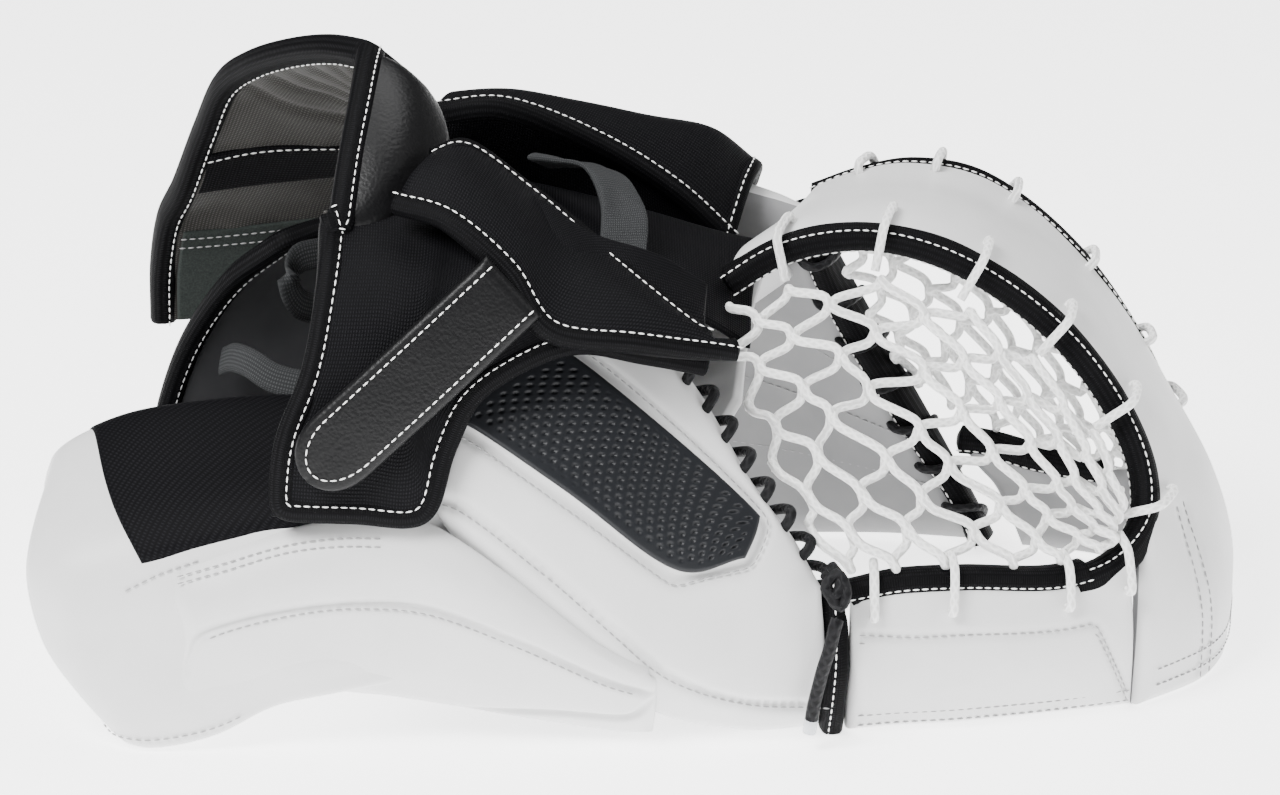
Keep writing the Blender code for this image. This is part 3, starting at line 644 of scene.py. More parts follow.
def make_lace_tree():
    """Round braided lace along each guide line, with its run and turn kept for the braid."""
    tree = tree_with_inputs("Braided lace", {"Lace radius": 0.0016})
    group_in = tree.nodes.new("NodeGroupInput")
    group_in.location = (-900, 0)
    to_curve = tree.nodes.new("GeometryNodeMeshToCurve")
    to_curve.label = "Lace route"
    to_curve.location = (-700, 150)
    along = tree.nodes.new("GeometryNodeSplineParameter")
    along.location = (-700, -50)
    keep_run = tree.nodes.new("GeometryNodeStoreNamedAttribute")
    keep_run.label = "Run along the lace"
    keep_run.inputs["Name"].default_value = "lace_run"
    keep_run.location = (-450, 150)
    ring = tree.nodes.new("GeometryNodeCurvePrimitiveCircle")
    ring.label = "Lace section"
    ring.inputs["Resolution"].default_value = 10
    ring.location = (-700, -250)
    around = tree.nodes.new("GeometryNodeSplineParameter")
    around.location = (-700, -450)
    keep_turn = tree.nodes.new("GeometryNodeStoreNamedAttribute")
    keep_turn.label = "Turn round the lace"
    keep_turn.inputs["Name"].default_value = "lace_turn"
    keep_turn.location = (-450, -250)
    tube = tree.nodes.new("GeometryNodeCurveToMesh")
    tube.inputs["Fill Caps"].default_value = True
    tube.location = (-200, 100)
    realize = tree.nodes.new("GeometryNodeRealizeInstances")
    realize.location = (0, 100)
    paint = tree.nodes.new("GeometryNodeSetMaterial")
    paint.location = (200, 100)
    group_out = tree.nodes.new("NodeGroupOutput")
    group_out.location = (400, 100)
    link = tree.links.new
    link(group_in.outputs["Guide"], to_curve.inputs["Mesh"])
    link(to_curve.outputs["Curve"], keep_run.inputs["Geometry"])
    link(along.outputs["Length"], keep_run.inputs["Value"])
    link(group_in.outputs["Lace radius"], ring.inputs["Radius"])
    link(ring.outputs["Curve"], keep_turn.inputs["Geometry"])
    link(around.outputs["Factor"], keep_turn.inputs["Value"])
    link(keep_run.outputs["Geometry"], tube.inputs["Curve"])
    link(keep_turn.outputs["Geometry"], tube.inputs["Profile Curve"])
    link(tube.outputs["Mesh"], realize.inputs["Geometry"])
    link(realize.outputs["Geometry"], paint.inputs["Geometry"])
    link(group_in.outputs["Material"], paint.inputs["Material"])
    link(paint.outputs["Geometry"], group_out.inputs["Piece"])
    return tree


# ---- materials ------------------------------------------------------------------------------
def start_material(name):
    """An empty node material whose shader is already at its output."""
    material = bpy.data.materials.new(name)
    material.use_nodes = True
    tree = material.node_tree
    tree.nodes.clear()
    shader = tree.nodes.new("ShaderNodeBsdfPrincipled")
    shader.location = (300, 0)
    output = tree.nodes.new("ShaderNodeOutputMaterial")
    output.location = (600, 0)
    tree.links.new(shader.outputs["BSDF"], output.inputs["Surface"])
    return material, tree, shader


def put_in_frame(tree, title, nodes):
    """Draws a titled frame round nodes."""
    box = tree.nodes.new("NodeFrame")
    box.label = title
    for node in nodes:
        node.parent = box


def leather_finish(name, light, dark, roughness, pebble, depth, coat, crease=2.2, shine_level=0.32):
    """Coated leather: pebbled grain, fine pores, soft creases and slight colour drift."""
    material, tree, shader = start_material(name)
    link = tree.links.new
    place = tree.nodes.new("ShaderNodeTexCoord")
    place.label = "Object position"
    place.location = (-1300, 0)
    grain = tree.nodes.new("ShaderNodeTexVoronoi")
    grain.label = "Pebbled grain"
    grain.feature = "SMOOTH_F1"
    grain.inputs["Scale"].default_value = 1.0 / pebble
    grain.location = (-1000, -200)
    pores = tree.nodes.new("ShaderNodeTexNoise")
    pores.label = "Fine pores"
    pores.inputs["Scale"].default_value = 0.8 / pebble
    pores.inputs["Detail"].default_value = 6.0
    pores.location = (-1000, -500)
    creases = tree.nodes.new("ShaderNodeTexNoise")
    creases.label = "Soft creases"
    creases.inputs["Scale"].default_value = 45.0
    creases.inputs["Detail"].default_value = 3.0
    creases.inputs["Distortion"].default_value = 0.6
    creases.location = (-1000, 200)
    height = tree.nodes.new("ShaderNodeMath")
    height.label = "Grain and pores"
    height.operation = "ADD"
    height.location = (-750, -300)
    weigh = tree.nodes.new("ShaderNodeMath")
    weigh.label = "Add creases"
    weigh.operation = "MULTIPLY_ADD"
    weigh.inputs[1].default_value = crease
    weigh.location = (-550, -200)
    bump = tree.nodes.new("ShaderNodeBump")
    bump.label = "Leather relief"
    bump.inputs["Strength"].default_value = 0.10
    bump.inputs["Distance"].default_value = depth
    bump.location = (-250, -250)
    drift = tree.nodes.new("ShaderNodeMapRange")
    drift.label = "Where it drifts"
    drift.inputs["From Min"].default_value = 0.3
    drift.inputs["From Max"].default_value = 0.7
    drift.location = (-750, 250)
    tint = tree.nodes.new("ShaderNodeMix")
    tint.label = "Colour drift"
    tint.data_type = "RGBA"
    tint.inputs["A"].default_value = (*light, 1)
    tint.inputs["B"].default_value = (*dark, 1)
    tint.location = (-250, 250)
    shine = tree.nodes.new("ShaderNodeMapRange")
    shine.label = "Uneven shine"
    shine.inputs["To Min"].default_value = roughness - 0.05
    shine.inputs["To Max"].default_value = roughness + 0.08
    shine.location = (-250, 0)
    shader.inputs["Coat Weight"].default_value = coat
    shader.inputs["Coat Roughness"].default_value = 0.35
    shader.inputs["Specular IOR Level"].default_value = shine_level
    link(place.outputs["Object"], grain.inputs["Vector"])
    link(place.outputs["Object"], pores.inputs["Vector"])
    link(place.outputs["Object"], creases.inputs["Vector"])
    link(grain.outputs["Distance"], height.inputs[0])
    link(pores.outputs["Fac"], height.inputs[1])
    link(creases.outputs["Fac"], weigh.inputs[0])
    link(height.outputs["Value"], weigh.inputs[2])
    link(weigh.outputs["Value"], bump.inputs["Height"])
    link(creases.outputs["Fac"], drift.inputs["Value"])
    link(drift.outputs["Result"], tint.inputs["Factor"])
    link(pores.outputs["Fac"], shine.inputs["Value"])
    link(tint.outputs["Result"], shader.inputs["Base Color"])
    link(shine.outputs["Result"], shader.inputs["Roughness"])
    link(bump.outputs["Normal"], shader.inputs["Normal"])
    put_in_frame(tree, "Grain and creases", (grain, pores, creases, height, weigh, bump))
    put_in_frame(tree, "Colour and shine", (drift, tint, shine))
    return material


WAVE_BAND = math.pi / 10  # metres from one band of a wave texture of scale 1 to the next


def woven_finish(name, base, raised, pitch, across_pitch, lean, depth, roughness, sheen):
    """Woven cloth: threads at `pitch` along and `across_pitch` across, leaning like a twill, with a
    painted highlight on the raised threads and painted shade between them.
    """
    material, tree, shader = start_material(name)
    link = tree.links.new
    cloth = tree.nodes.new("ShaderNodeUVMap")
    cloth.label = "Metres of cloth"
    cloth.uv_map = "cloth"
    cloth.location = (-1400, 0)
    turn = tree.nodes.new("ShaderNodeMapping")
    turn.label = "Lean of the weave"
    turn.inputs["Rotation"].default_value = (0, 0, lean)
    turn.location = (-1200, 0)
    warp = tree.nodes.new("ShaderNodeTexWave")
    warp.label = "Warp threads"
    warp.bands_direction = "X"
    warp.inputs["Scale"].default_value = WAVE_BAND / pitch
    warp.inputs["Distortion"].default_value = 0.4
    warp.inputs["Detail"].default_value = 1.0
    warp.location = (-950, 200)
    weft = tree.nodes.new("ShaderNodeTexWave")
    weft.label = "Weft threads"
    weft.bands_direction = "Y"
    weft.inputs["Scale"].default_value = WAVE_BAND / across_pitch
    weft.inputs["Distortion"].default_value = 0.4
    weft.inputs["Detail"].default_value = 1.0
    weft.location = (-950, -150)
    fuzz = tree.nodes.new("ShaderNodeTexNoise")
    fuzz.label = "Loose fibres"
    fuzz.inputs["Scale"].default_value = 900.0
    fuzz.inputs["Detail"].default_value = 3.0
    fuzz.location = (-950, -500)
    weave = tree.nodes.new("ShaderNodeMath")
    weave.label = "Over and under"
    weave.operation = "MULTIPLY"
    weave.location = (-700, 50)
    rough_weave = tree.nodes.new("ShaderNodeMath")
    rough_weave.label = "Weave with fibres"
    rough_weave.operation = "MULTIPLY_ADD"
    rough_weave.inputs[1].default_value = 0.35
    rough_weave.location = (-500, -100)
    bump = tree.nodes.new("ShaderNodeBump")
    bump.label = "Thread relief"
    bump.inputs["Strength"].default_value = 0.8
    bump.inputs["Distance"].default_value = depth
    bump.location = (-200, -250)
    # Painted light and shade: colour runs from `base` between the threads to `raised` on their
    # tops, following the weave height.
    tint = tree.nodes.new("ShaderNodeMix")
    tint.label = "Painted highlight on raised threads"
    tint.data_type = "RGBA"
    tint.inputs["A"].default_value = (*base, 1)
    tint.inputs["B"].default_value = (*raised, 1)
    tint.location = (-200, 200)
    shader.inputs["Roughness"].default_value = roughness
    shader.inputs["Sheen Weight"].default_value = sheen
    shader.inputs["Sheen Roughness"].default_value = 0.5
    shader.inputs["Specular IOR Level"].default_value = 0.06
    link(cloth.outputs["UV"], turn.inputs["Vector"])
    link(turn.outputs["Vector"], warp.inputs["Vector"])
    link(turn.outputs["Vector"], weft.inputs["Vector"])
    link(cloth.outputs["UV"], fuzz.inputs["Vector"])
    link(warp.outputs["Fac"], weave.inputs[0])
    link(weft.outputs["Fac"], weave.inputs[1])
    link(fuzz.outputs["Fac"], rough_weave.inputs[0])
    link(weave.outputs["Value"], rough_weave.inputs[2])
    link(rough_weave.outputs["Value"], bump.inputs["Height"])
    link(weave.outputs["Value"], tint.inputs["Factor"])
    link(tint.outputs["Result"], shader.inputs["Base Color"])
    link(bump.outputs["Normal"], shader.inputs["Normal"])
    put_in_frame(tree, "Weave", (turn, warp, weft, weave, rough_weave, bump))
    put_in_frame(tree, "Colour", (tint, fuzz))
    return material


def lace_finish(name, colour, shade, braid, roughness):
    """Braided cord: two sets of strands crossing round the lace, with painted shade darkening the
    gaps between strands.
    """
    material, tree, shader = start_material(name)
    link = tree.links.new
    run = tree.nodes.new("ShaderNodeAttribute")
    run.label = "Run along the lace"
    run.attribute_name = "lace_run"
    run.location = (-1400, 200)
    turn = tree.nodes.new("ShaderNodeAttribute")
    turn.label = "Turn round the lace"
    turn.attribute_name = "lace_turn"
    turn.location = (-1400, -100)
    steps = tree.nodes.new("ShaderNodeMath")
    steps.label = "Braid steps"
    steps.operation = "MULTIPLY"
    steps.inputs[1].default_value = 2 * math.pi / braid
    steps.location = (-1200, 200)
    strands = tree.nodes.new("ShaderNodeMath")
    strands.label = "Strands round"
    strands.operation = "MULTIPLY"
    strands.inputs[1].default_value = 2 * math.pi * 4
    strands.location = (-1200, -100)
    right = tree.nodes.new("ShaderNodeMath")
    right.label = "Right-hand strands"
    right.operation = "ADD"
    right.location = (-1000, 200)
    left = tree.nodes.new("ShaderNodeMath")
    left.label = "Left-hand strands"
    left.operation = "SUBTRACT"
    left.location = (-1000, -100)
    right_wave = tree.nodes.new("ShaderNodeMath")
    right_wave.operation = "SINE"
    right_wave.location = (-800, 200)
    left_wave = tree.nodes.new("ShaderNodeMath")
    left_wave.operation = "SINE"
    left_wave.location = (-800, -100)
    braid_top = tree.nodes.new("ShaderNodeMath")
    braid_top.label = "Upper strand wins"
    braid_top.operation = "MAXIMUM"
    braid_top.location = (-600, 50)
    lift = tree.nodes.new("ShaderNodeMapRange")
    lift.label = "Strand height"
    lift.inputs["From Min"].default_value = -0.6
    lift.location = (-400, 50)
    bump = tree.nodes.new("ShaderNodeBump")
    bump.label = "Braid relief"
    bump.inputs["Strength"].default_value = 0.7
    bump.inputs["Distance"].default_value = 0.0004
    bump.location = (-100, -200)
    # Painted shade: the colour drops to `shade` where the strands dip, in the gaps between them.
    tint = tree.nodes.new("ShaderNodeMix")
    tint.label = "Painted shade between strands"
    tint.data_type = "RGBA"
    tint.inputs["A"].default_value = (*shade, 1)
    tint.inputs["B"].default_value = (*colour, 1)
    tint.location = (-100, 200)
    shader.inputs["Roughness"].default_value = roughness
    shader.inputs["Sheen Weight"].default_value = 0.0
    shader.inputs["Specular IOR Level"].default_value = 0.15
    link(run.outputs["Fac"], steps.inputs[0])
    link(turn.outputs["Fac"], strands.inputs[0])
    link(steps.outputs["Value"], right.inputs[0])
    link(strands.outputs["Value"], right.inputs[1])
    link(steps.outputs["Value"], left.inputs[0])
    link(strands.outputs["Value"], left.inputs[1])
    link(right.outputs["Value"], right_wave.inputs[0])
    link(left.outputs["Value"], left_wave.inputs[0])
    link(right_wave.outputs["Value"], braid_top.inputs[0])
    link(left_wave.outputs["Value"], braid_top.inputs[1])
    link(braid_top.outputs["Value"], lift.inputs["Value"])
    link(lift.outputs["Result"], bump.inputs["Height"])
    link(lift.outputs["Result"], tint.inputs["Factor"])
    link(tint.outputs["Result"], shader.inputs["Base Color"])
    link(bump.outputs["Normal"], shader.inputs["Normal"])
    put_in_frame(tree, "Braid", (steps, strands, right, left, right_wave, left_wave, braid_top,
                                 lift, bump))
    return material


def moulded_finish(name, colour, lighter, roughness, grain):
    """Moulded or matt plastic, thread and pile: fine noise in colour and relief."""
    material, tree, shader = start_material(name)
    link = tree.links.new
    place = tree.nodes.new("ShaderNodeTexCoord")
    place.location = (-900, 0)
    speck = tree.nodes.new("ShaderNodeTexNoise")
    speck.label = "Surface texture"
    speck.inputs["Scale"].default_value = 1.0 / grain
    speck.inputs["Detail"].default_value = 4.0
    speck.location = (-700, 0)
    tint = tree.nodes.new("ShaderNodeMix")
    tint.label = "Colour speckle"
    tint.data_type = "RGBA"
    tint.inputs["A"].default_value = (*colour, 1)
    tint.inputs["B"].default_value = (*lighter, 1)
    tint.location = (-200, 150)
    bump = tree.nodes.new("ShaderNodeBump")
    bump.label = "Texture relief"
    bump.inputs["Strength"].default_value = 0.10
    bump.inputs["Distance"].default_value = grain * 0.3
    bump.location = (-200, -150)
    shader.inputs["Roughness"].default_value = roughness
    shader.inputs["Specular IOR Level"].default_value = 0.2
    link(place.outputs["Object"], speck.inputs["Vector"])
    link(speck.outputs["Fac"], tint.inputs["Factor"])
    link(speck.outputs["Fac"], bump.inputs["Height"])
    link(tint.outputs["Result"], shader.inputs["Base Color"])
    link(bump.outputs["Normal"], shader.inputs["Normal"])
    put_in_frame(tree, "Texture", (speck, tint, bump))
    return material


MATERIALS = {}
TREES = {}


def make_materials(colours):
    """Fills MATERIALS with every finish that the glove's pieces use."""
    white = tuple(colours.leather)
    MATERIALS["white_leather"] = leather_finish(
        "White leather", white, tuple(c * 0.95 for c in white), roughness=0.42, pebble=0.0011,
        depth=0.00016, coat=0.12)
    # White pocket leather painted dark grey: painted shade inside the pocket, a shaded copy of the
    # white leather.
    MATERIALS["white_lining"] = leather_finish(
        "Pocket leather in painted shade", (0.24, 0.24, 0.24), (0.20, 0.20, 0.205), roughness=0.55,
        pebble=0.0014, depth=0.0001, coat=0.0)
    MATERIALS["black_leather"] = leather_finish(
        "Black leather", (0.0042, 0.0042, 0.0046), (0.0028, 0.0028, 0.0032), roughness=0.40,
        pebble=0.0011, depth=0.0018, coat=0.0, crease=0.0, shine_level=0.20)
    MATERIALS["tongue_leather"] = leather_finish(
        "Tongue leather", (0.034, 0.034, 0.036), (0.024, 0.024, 0.026), roughness=0.45,
        pebble=0.0014, depth=0.0002, coat=0.0, crease=0.5)
    MATERIALS["black_nylon"] = woven_finish(
        "Ballistic nylon", (0.0015, 0.0015, 0.002), (0.0095, 0.0095, 0.011), pitch=0.0010,
        across_pitch=0.0013, lean=0.0, depth=0.00025, roughness=0.6, sheen=0.0)
    MATERIALS["black_twill"] = woven_finish(
        "Twill nylon", (0.0015, 0.0015, 0.002), (0.0080, 0.0080, 0.0095), pitch=0.0011,
        across_pitch=0.0022, lean=0.6, depth=0.00012, roughness=0.66, sheen=0.0)
    MATERIALS["black_binding"] = woven_finish(
        "Binding tape", (0.0012, 0.0012, 0.0015), (0.0060, 0.0060, 0.007), pitch=0.0008,
        across_pitch=0.0018, lean=0.0, depth=0.0002, roughness=0.6, sheen=0.0)
    MATERIALS["grey_lining"] = woven_finish(
        "Woven lining", (0.022, 0.021, 0.019), (0.080, 0.076, 0.069), pitch=0.0009,
        across_pitch=0.0013, lean=0.0, depth=0.0002, roughness=0.7, sheen=0.2)
    MATERIALS["grey_webbing"] = woven_finish(
        "Ribbed webbing", (0.022, 0.023, 0.024), (0.062, 0.064, 0.066), pitch=0.0011,
        across_pitch=0.0007, lean=0.0, depth=0.0003, roughness=0.75, sheen=0.0)
    MATERIALS["loop_patch"] = moulded_finish(
        "Loop pile", (0.010, 0.013, 0.012), (0.048, 0.056, 0.052), roughness=0.95,
        grain=0.0007)
    MATERIALS["dimpled_black"] = moulded_finish(
        "Moulded panel", (0.007, 0.0075, 0.009), (0.011, 0.012, 0.014), roughness=0.40,
        grain=0.0005)
    MATERIALS["white_lace"] = lace_finish(
        "White lace", (0.90, 0.90, 0.89), (0.70, 0.70, 0.69), braid=0.0042, roughness=0.7)
    MATERIALS["black_lace"] = lace_finish(
        "Black lace", (0.0075, 0.0075, 0.0085), (0.002, 0.002, 0.0025), braid=0.0042,
        roughness=0.55)
    MATERIALS["white_thread"] = moulded_finish(
        "White thread", (0.82, 0.82, 0.80), (0.90, 0.90, 0.89), roughness=0.6, grain=0.0003)
    # The same white thread painted dark grey: painted shade for seams that sit in shadow.
    MATERIALS["painted_shade_thread"] = moulded_finish(
        "Thread in painted shade", (0.26, 0.26, 0.26), (0.36, 0.36, 0.36), roughness=0.6, grain=0.0003)
    MATERIALS["aglet_plastic"] = moulded_finish(
        "Lace end", (0.55, 0.57, 0.60), (0.66, 0.68, 0.70), roughness=0.22, grain=0.002)


# ---- declaring pieces -----------------------------------------------------------------------
def fit_out(obj, body, slot, *nodes):
    """Puts a piece on its body and hides the CAD nodes it stands for; `slot` is not used."""
    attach(obj, body)
    if nodes:
        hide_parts(*nodes)
    return obj


def stitches(name, body, lines, colour="white_thread"):
    """Rows of lock stitches on a body."""
    sizes = bpy.context.scene.glove_sizes
    obj = grow(name, lines, TREES["stitch"], {
        "Stitch pitch": sizes.stitch_pitch, "Stitch length": sizes.stitch_length,
        "Thread radius": sizes.thread_radius}, MATERIALS[colour])
    return fit_out(obj, body, "white_lace")


def laces(name, body, lines, colour="white_lace", *nodes, radius=None):
    """Round laces on a body, of the pocket lace's radius unless another is given in metres."""
    radius = radius or bpy.context.scene.glove_sizes.lace_radius
    even = [even_curve(line, 1.3) for line in lines]
    obj = grow(name, even, TREES["lace"], {"Lace radius": radius}, MATERIALS[colour])
    return fit_out(obj, body, colour, *nodes)


def tape(name, body, patch, marks, thickness, nodes=(), width=9.2, depth=0.0, tuck=2.0,
         stitch=0.4, smooth=6, thread="white_thread"):
    """Binding folded over the edge of a patch along marks."""
    edge = trace(patch, marks, smooth=smooth)
    edging(name, body, edge, thickness, nodes, width, depth, tuck, stitch, thread)


def joined(*traces, smooth=10):
    """Several traced edges as one, with the turns between them softened."""
    rows = [np.concatenate(part) for part in zip(*traces)]
    for _ in range(smooth):
        for part in rows:
            part[1:-1] = (part[:-2] + 2 * part[1:-1] + part[2:]) / 4
    rows[1:] = [part / np.linalg.norm(part, axis=1, keepdims=True) for part in rows[1:]]
    return rows


def edging(name, body, edge, thickness, nodes=(), width=9.2, depth=0.0, tuck=2.0, stitch=0.4,
           thread="white_thread"):
    """Binding along a traced edge, with the stitch line that holds it on both faces.

    `tuck` is how far it reaches past the edge and `depth` how far under the skin it starts, in
    mm.  `stitch` places the stitch line between the tape's middle, 0, and its inner side, 1.
    """
    points, n, inward = edge
    along = np.gradient(points, axis=0)
    along /= np.linalg.norm(along, axis=1, keepdims=True)
    n = n - along * (n * along).sum(axis=1, keepdims=True)
    n /= np.linalg.norm(n, axis=1, keepdims=True)
    side = np.cross(n, along)
    inward = side * np.sign((side * inward).sum(axis=1, keepdims=True))
    middle = points - n * (depth + thickness / 2) + inward * (width / 2 - tuck)
    high, softness = thickness / 2 + 1.0, 0.3
    obj = sweep(name, middle, n, (high, width / 2), MATERIALS["black_binding"], 16, softness)
    fit_out(obj, body, "black_binding", *nodes)
    angle = math.asin(abs(stitch) ** (1 / (1 - softness)))
    rise = high * math.cos(angle) ** (1 - softness) + 0.15
    seam = middle + inward * width / 2 * stitch
    stitches(name + "_stitches", body, [seam + n * rise, seam - n * rise], thread)


def padded_panel(name, body, slot, patch, thickness, nodes, fill=0.6, **shape):
    """A stuffed panel on a body, of the material that its slot names."""
    obj = panel(name, patch, thickness, MATERIALS[slot], **shape)
    fit_out(obj, body, slot, *nodes)


def cloth_panel(name, body, slot, patch, thickness, nodes, held, rests_on, **shape):
    """A thin cloth panel on a body, of the material that its slot names."""
    obj = panel(name, patch, thickness, MATERIALS[slot], **shape)
    fit_out(obj, body, slot, *nodes)


def puff(swell, reach, seed, lines=(), depth=0.0, width=1.0, rough=0.5, size=22.0):
    """Relief of a stuffed skin, in mm: full from `reach` inside its edges, pulled in along its
    seam `lines` by `depth` over `width`, with wrinkles `rough` high and `size` across."""
    def relief(grid):
        full = swell * (1 - np.exp(-edge_distance(grid) / reach))
        return full - groove_depth(grid, lines, depth, width) + wrinkles(grid, size, rough, seed)
    return relief


# ---- cuff -----------------------------------------------------------------------------------
def cuff_section(station):
    """One closed cross section: outer skin from near border to far, then back over the top."""
    x_floor, x_mid, x_crest, pull, border_z, crest, wall, keel = station
    outer = [(-104 + pull, border_z), (-112 + pull, wall), (-113 + pull, keel + 9),
             (-105 + pull, keel), (-52, keel + 1), (0, keel + 1), (42, keel + 1),
             (72 - pull, keel + 2), (88 - pull, keel + 10), (92 - pull, 31),
             (80 - pull, 45)]
    inner = [(62, 47), (46, 42), (28, CUFF_FLOOR + 3), (6, CUFF_FLOOR),
             (-14, CUFF_FLOOR + 3), (-26, CUFF_FLOOR + 18), (-34, crest - 16), (-50, crest),
             (-80 + pull / 2, (border_z + crest) / 2 + 3)]
    lean = np.polyfit((0.0, 46.0, crest), (x_floor, x_mid, x_crest), 2)
    return np.array([(np.polyval(lean, min(z, crest)), y, z) for y, z in outer + inner])


class Cuff:
    """The padded cuff as a closed tube, read at (along, around); around wraps at 20."""

    def __init__(self):
        self.cage = np.array([cuff_section(station) for station in CUFF_STATIONS])

    def grid(self, along, around):
        wrapped = np.concatenate([self.cage[:, -3:], self.cage, self.cage[:, :4]], axis=1)
        rows = weights(len(self.cage), along)
        cols = weights(wrapped.shape[1], (np.asarray(around, float) + 3) / (wrapped.shape[1] - 1))
        return np.einsum("ui,ijk,vj->uvk", rows, wrapped, cols)

    def at(self, marks):
        marks = np.asarray(marks, float)
        wrapped = np.concatenate([self.cage[:, -3:], self.cage, self.cage[:, :4]], axis=1)
        rows = weights(len(self.cage), marks[:, 0])
        cols = weights(wrapped.shape[1], (marks[:, 1] + 3) / (wrapped.shape[1] - 1))
        return np.einsum("ni,ijk,nj->nk", rows, wrapped, cols)

    def line(self, marks, lift, count=80):
        marks = curve_through(marks, count)
        step, out = 0.02, []
        for along, around in marks:
            near = self.grid([max(along - step, 0), min(along + step, 1)],
                             [around - step * 5, around + step * 5])
            n = grid_normals(near, near.mean(axis=(0, 1)) - np.array((-130, -10, 50)))[0, 0]
            out.append(near.mean(axis=(0, 1)) + n * lift)
        return np.array(out)


def make_cuff():
    """The padded cuff as one closed skin, with its twill and seams."""
    cuff = Cuff()
    along = crowded(64, 0.35)
    around = np.linspace(0, 20, 220, endpoint=False)
    grid = cuff.grid(along, around)
    looped = np.concatenate([grid[:, -2:], grid, grid[:, :2]], axis=1)
    n = grid_normals(looped, (0, 0, 0))[:, 2:-2]
    middle = grid.mean(axis=1, keepdims=True)
    if ((grid - middle) * n).sum() < 0:
        n = -n
    grid = grid + n * wrinkles(grid, 26.0, 0.9, 3)[..., None]
    rows = [grid[0] * (1 - f) + (grid[0] + grid[0][::-1]) / 2 * f for f in (1.0, 0.66, 0.33)]
    rows += list(grid)
    rows += [grid[-1] * (1 - f) + (grid[-1] + grid[-1][::-1]) / 2 * f for f in (0.33, 0.66, 1.0)]
    rings = np.array(rows)
    count, per = rings.shape[:2]
    faces = [(i * per + j, (i + 1) * per + j, (i + 1) * per + (j + 1) % per,
              i * per + (j + 1) % per) for i in range(count - 1) for j in range(per)]
    run = grid_uv(rings).reshape(-1, 2)
    obj = mesh_object("cuff_white_leather", rings.reshape(-1, 3), faces, run,
                      MATERIALS["white_leather"])
    weld(obj)
    fit_out(obj, "hand", "white_leather", "cuff_leather", "cuff_foam")
    make_cuff_twill(cuff)
    stitches("cuff_hem_stitches", "hand", [cuff.line(CUFF_HEM, 0.5), cuff.line(
        CUFF_FOOT, 0.5, 140)], "painted_shade_thread")


def make_cuff_twill(cuff):
    """The twill laid over the cuff's top, from its near hem round to the channel's floor."""
    rows, cols = 54, 130
    vs = np.linspace(10.8, 20.15, cols)
    first = np.interp(vs, (17.0, 17.9, 18.7, 20.15), (0.29, 0.295, 0.355, 0.47))
    marks = [(u0 + (0.99 - u0) * t, v) for t in crowded(rows, 0.5) for u0, v in zip(first, vs)]
    top = cuff.at(marks).reshape(rows, cols, 3)
    up = grid_normals(top, OUT_UP)
    near = np.clip(1 - edge_distance(top) / 2.5, 0, 1)
    lift = 1.3 * np.sqrt(1 - near ** 2) - 0.3
    twill = close_grid("cuff_twill", top + up * lift[..., None], top - up * 1.2,
                       MATERIALS["black_twill"])
    fit_out(twill, "hand", "black_nylon", "cuff_lining")


def weld(obj):
    """Joins the points that meet where a closed shape draws together."""
    work = bmesh.new()
    work.from_mesh(obj.data)
    bmesh.ops.remove_doubles(work, verts=work.verts, dist=0.02 * MM)
    bmesh.ops.dissolve_degenerate(work, edges=work.edges, dist=0.01 * MM)
    work.to_mesh(obj.data)
    work.free()


# ---- thumb side -----------------------------------------------------------------------------
THUMB_PATCH = Patch(THUMB, OUT_NEAR)
THUMB_THICK = 15.0
PANEL_TOP = [(0.20, 0.25), (0.40, 0.235), (0.625, 0.215)]
PANEL_BOTTOM = [(0.10, 0.535), (0.35, 0.52), (0.585, 0.50), (0.665, 0.355)]
BREAK_KNOT = [(66, -103, 66), (69, -109, 63), (67, -112, 58), (64, -110, 61), (68, -108, 65),
              (71, -111, 60), (69, -113, 55), (66, -112, 58), (69, -111, 59)]
# Free end of the break lace, from the knot down to where its plastic tip starts, as in the CAD.
LACE_TAIL = [(68.0, -112.0, 50.0), (67.0, -113.4, 47.0), (65.5, -114.0, 40.0),
             (63.5, -113.5, 33.0), (62.0, -112.5, 26.0), (60.5, -112.0, 19.0),
             (59.5, -111.5, 12.0)]
THUMB_FOLD = [(0.0, 0.80), (0.15, 0.755), (0.35, 0.72), (0.55, 0.72), (0.68, 0.775), (0.80, 0.79),
              (1.0, 0.75)]


def thumb_panel_outline():
    """The seam sunk round the moulded panel."""
    corners = [(0.0, 0.56), (0.10, 0.555), (0.35, 0.54), (0.595, 0.525), (0.685, 0.36),
               (0.645, 0.195), (0.40, 0.215), (0.0, 0.235)]
    return trace(THUMB_PATCH, corners, smooth=3)[0]


def make_thumb_guard():
    """The thumb guard, creased along its fold and round the moulded panel."""
    fold = THUMB_PATCH.line(THUMB_FOLD)
    relief = puff(1.6, 9.0, 5, [fold, thumb_panel_outline()], 2.6, 2.3)
    padded_panel("thumb_guard", "thumb", "white_leather", THUMB_PATCH, THUMB_THICK,
                 ["thumb_leather", "thumb_foam", "thumb_stiffener", "thumb_lining"], 0.8,
                 size=(150, 110), edge=9.0, relief=relief,
                 under_material=MATERIALS["white_lining"])
    stitches("thumb_fold_stitches", "thumb",
             [THUMB_PATCH.line([(u, v + 0.012) for u, v in THUMB_FOLD[1:]], 0.4, 90)],
             "painted_shade_thread")
    round_panel = [(0.06, 0.57), (0.35, 0.555), (0.60, 0.54), (0.695, 0.36), (0.65, 0.185),
                   (0.40, 0.205), (0.20, 0.215)]
    points, n = trace(THUMB_PATCH, round_panel, smooth=3)[:2]
    stitches("thumb_panel_stitches", "thumb", [points + n * 1.3], "painted_shade_thread")


DIMPLE_ROW = 0.62         # from row to row, in dimple pitches
DIMPLE_SPREAD = 0.18      # of a dimple, in dimple pitches
DIMPLE_DEPTH = 0.8
DIMPLE_MARGIN = 3.2       # plain border round the dimples
PANEL_RISE = 3.2          # of the moulded panel's face over the guard's skin
PANEL_SINK = 1.5          # of its back under that skin
PANEL_ROUND = 1.6         # of its edge


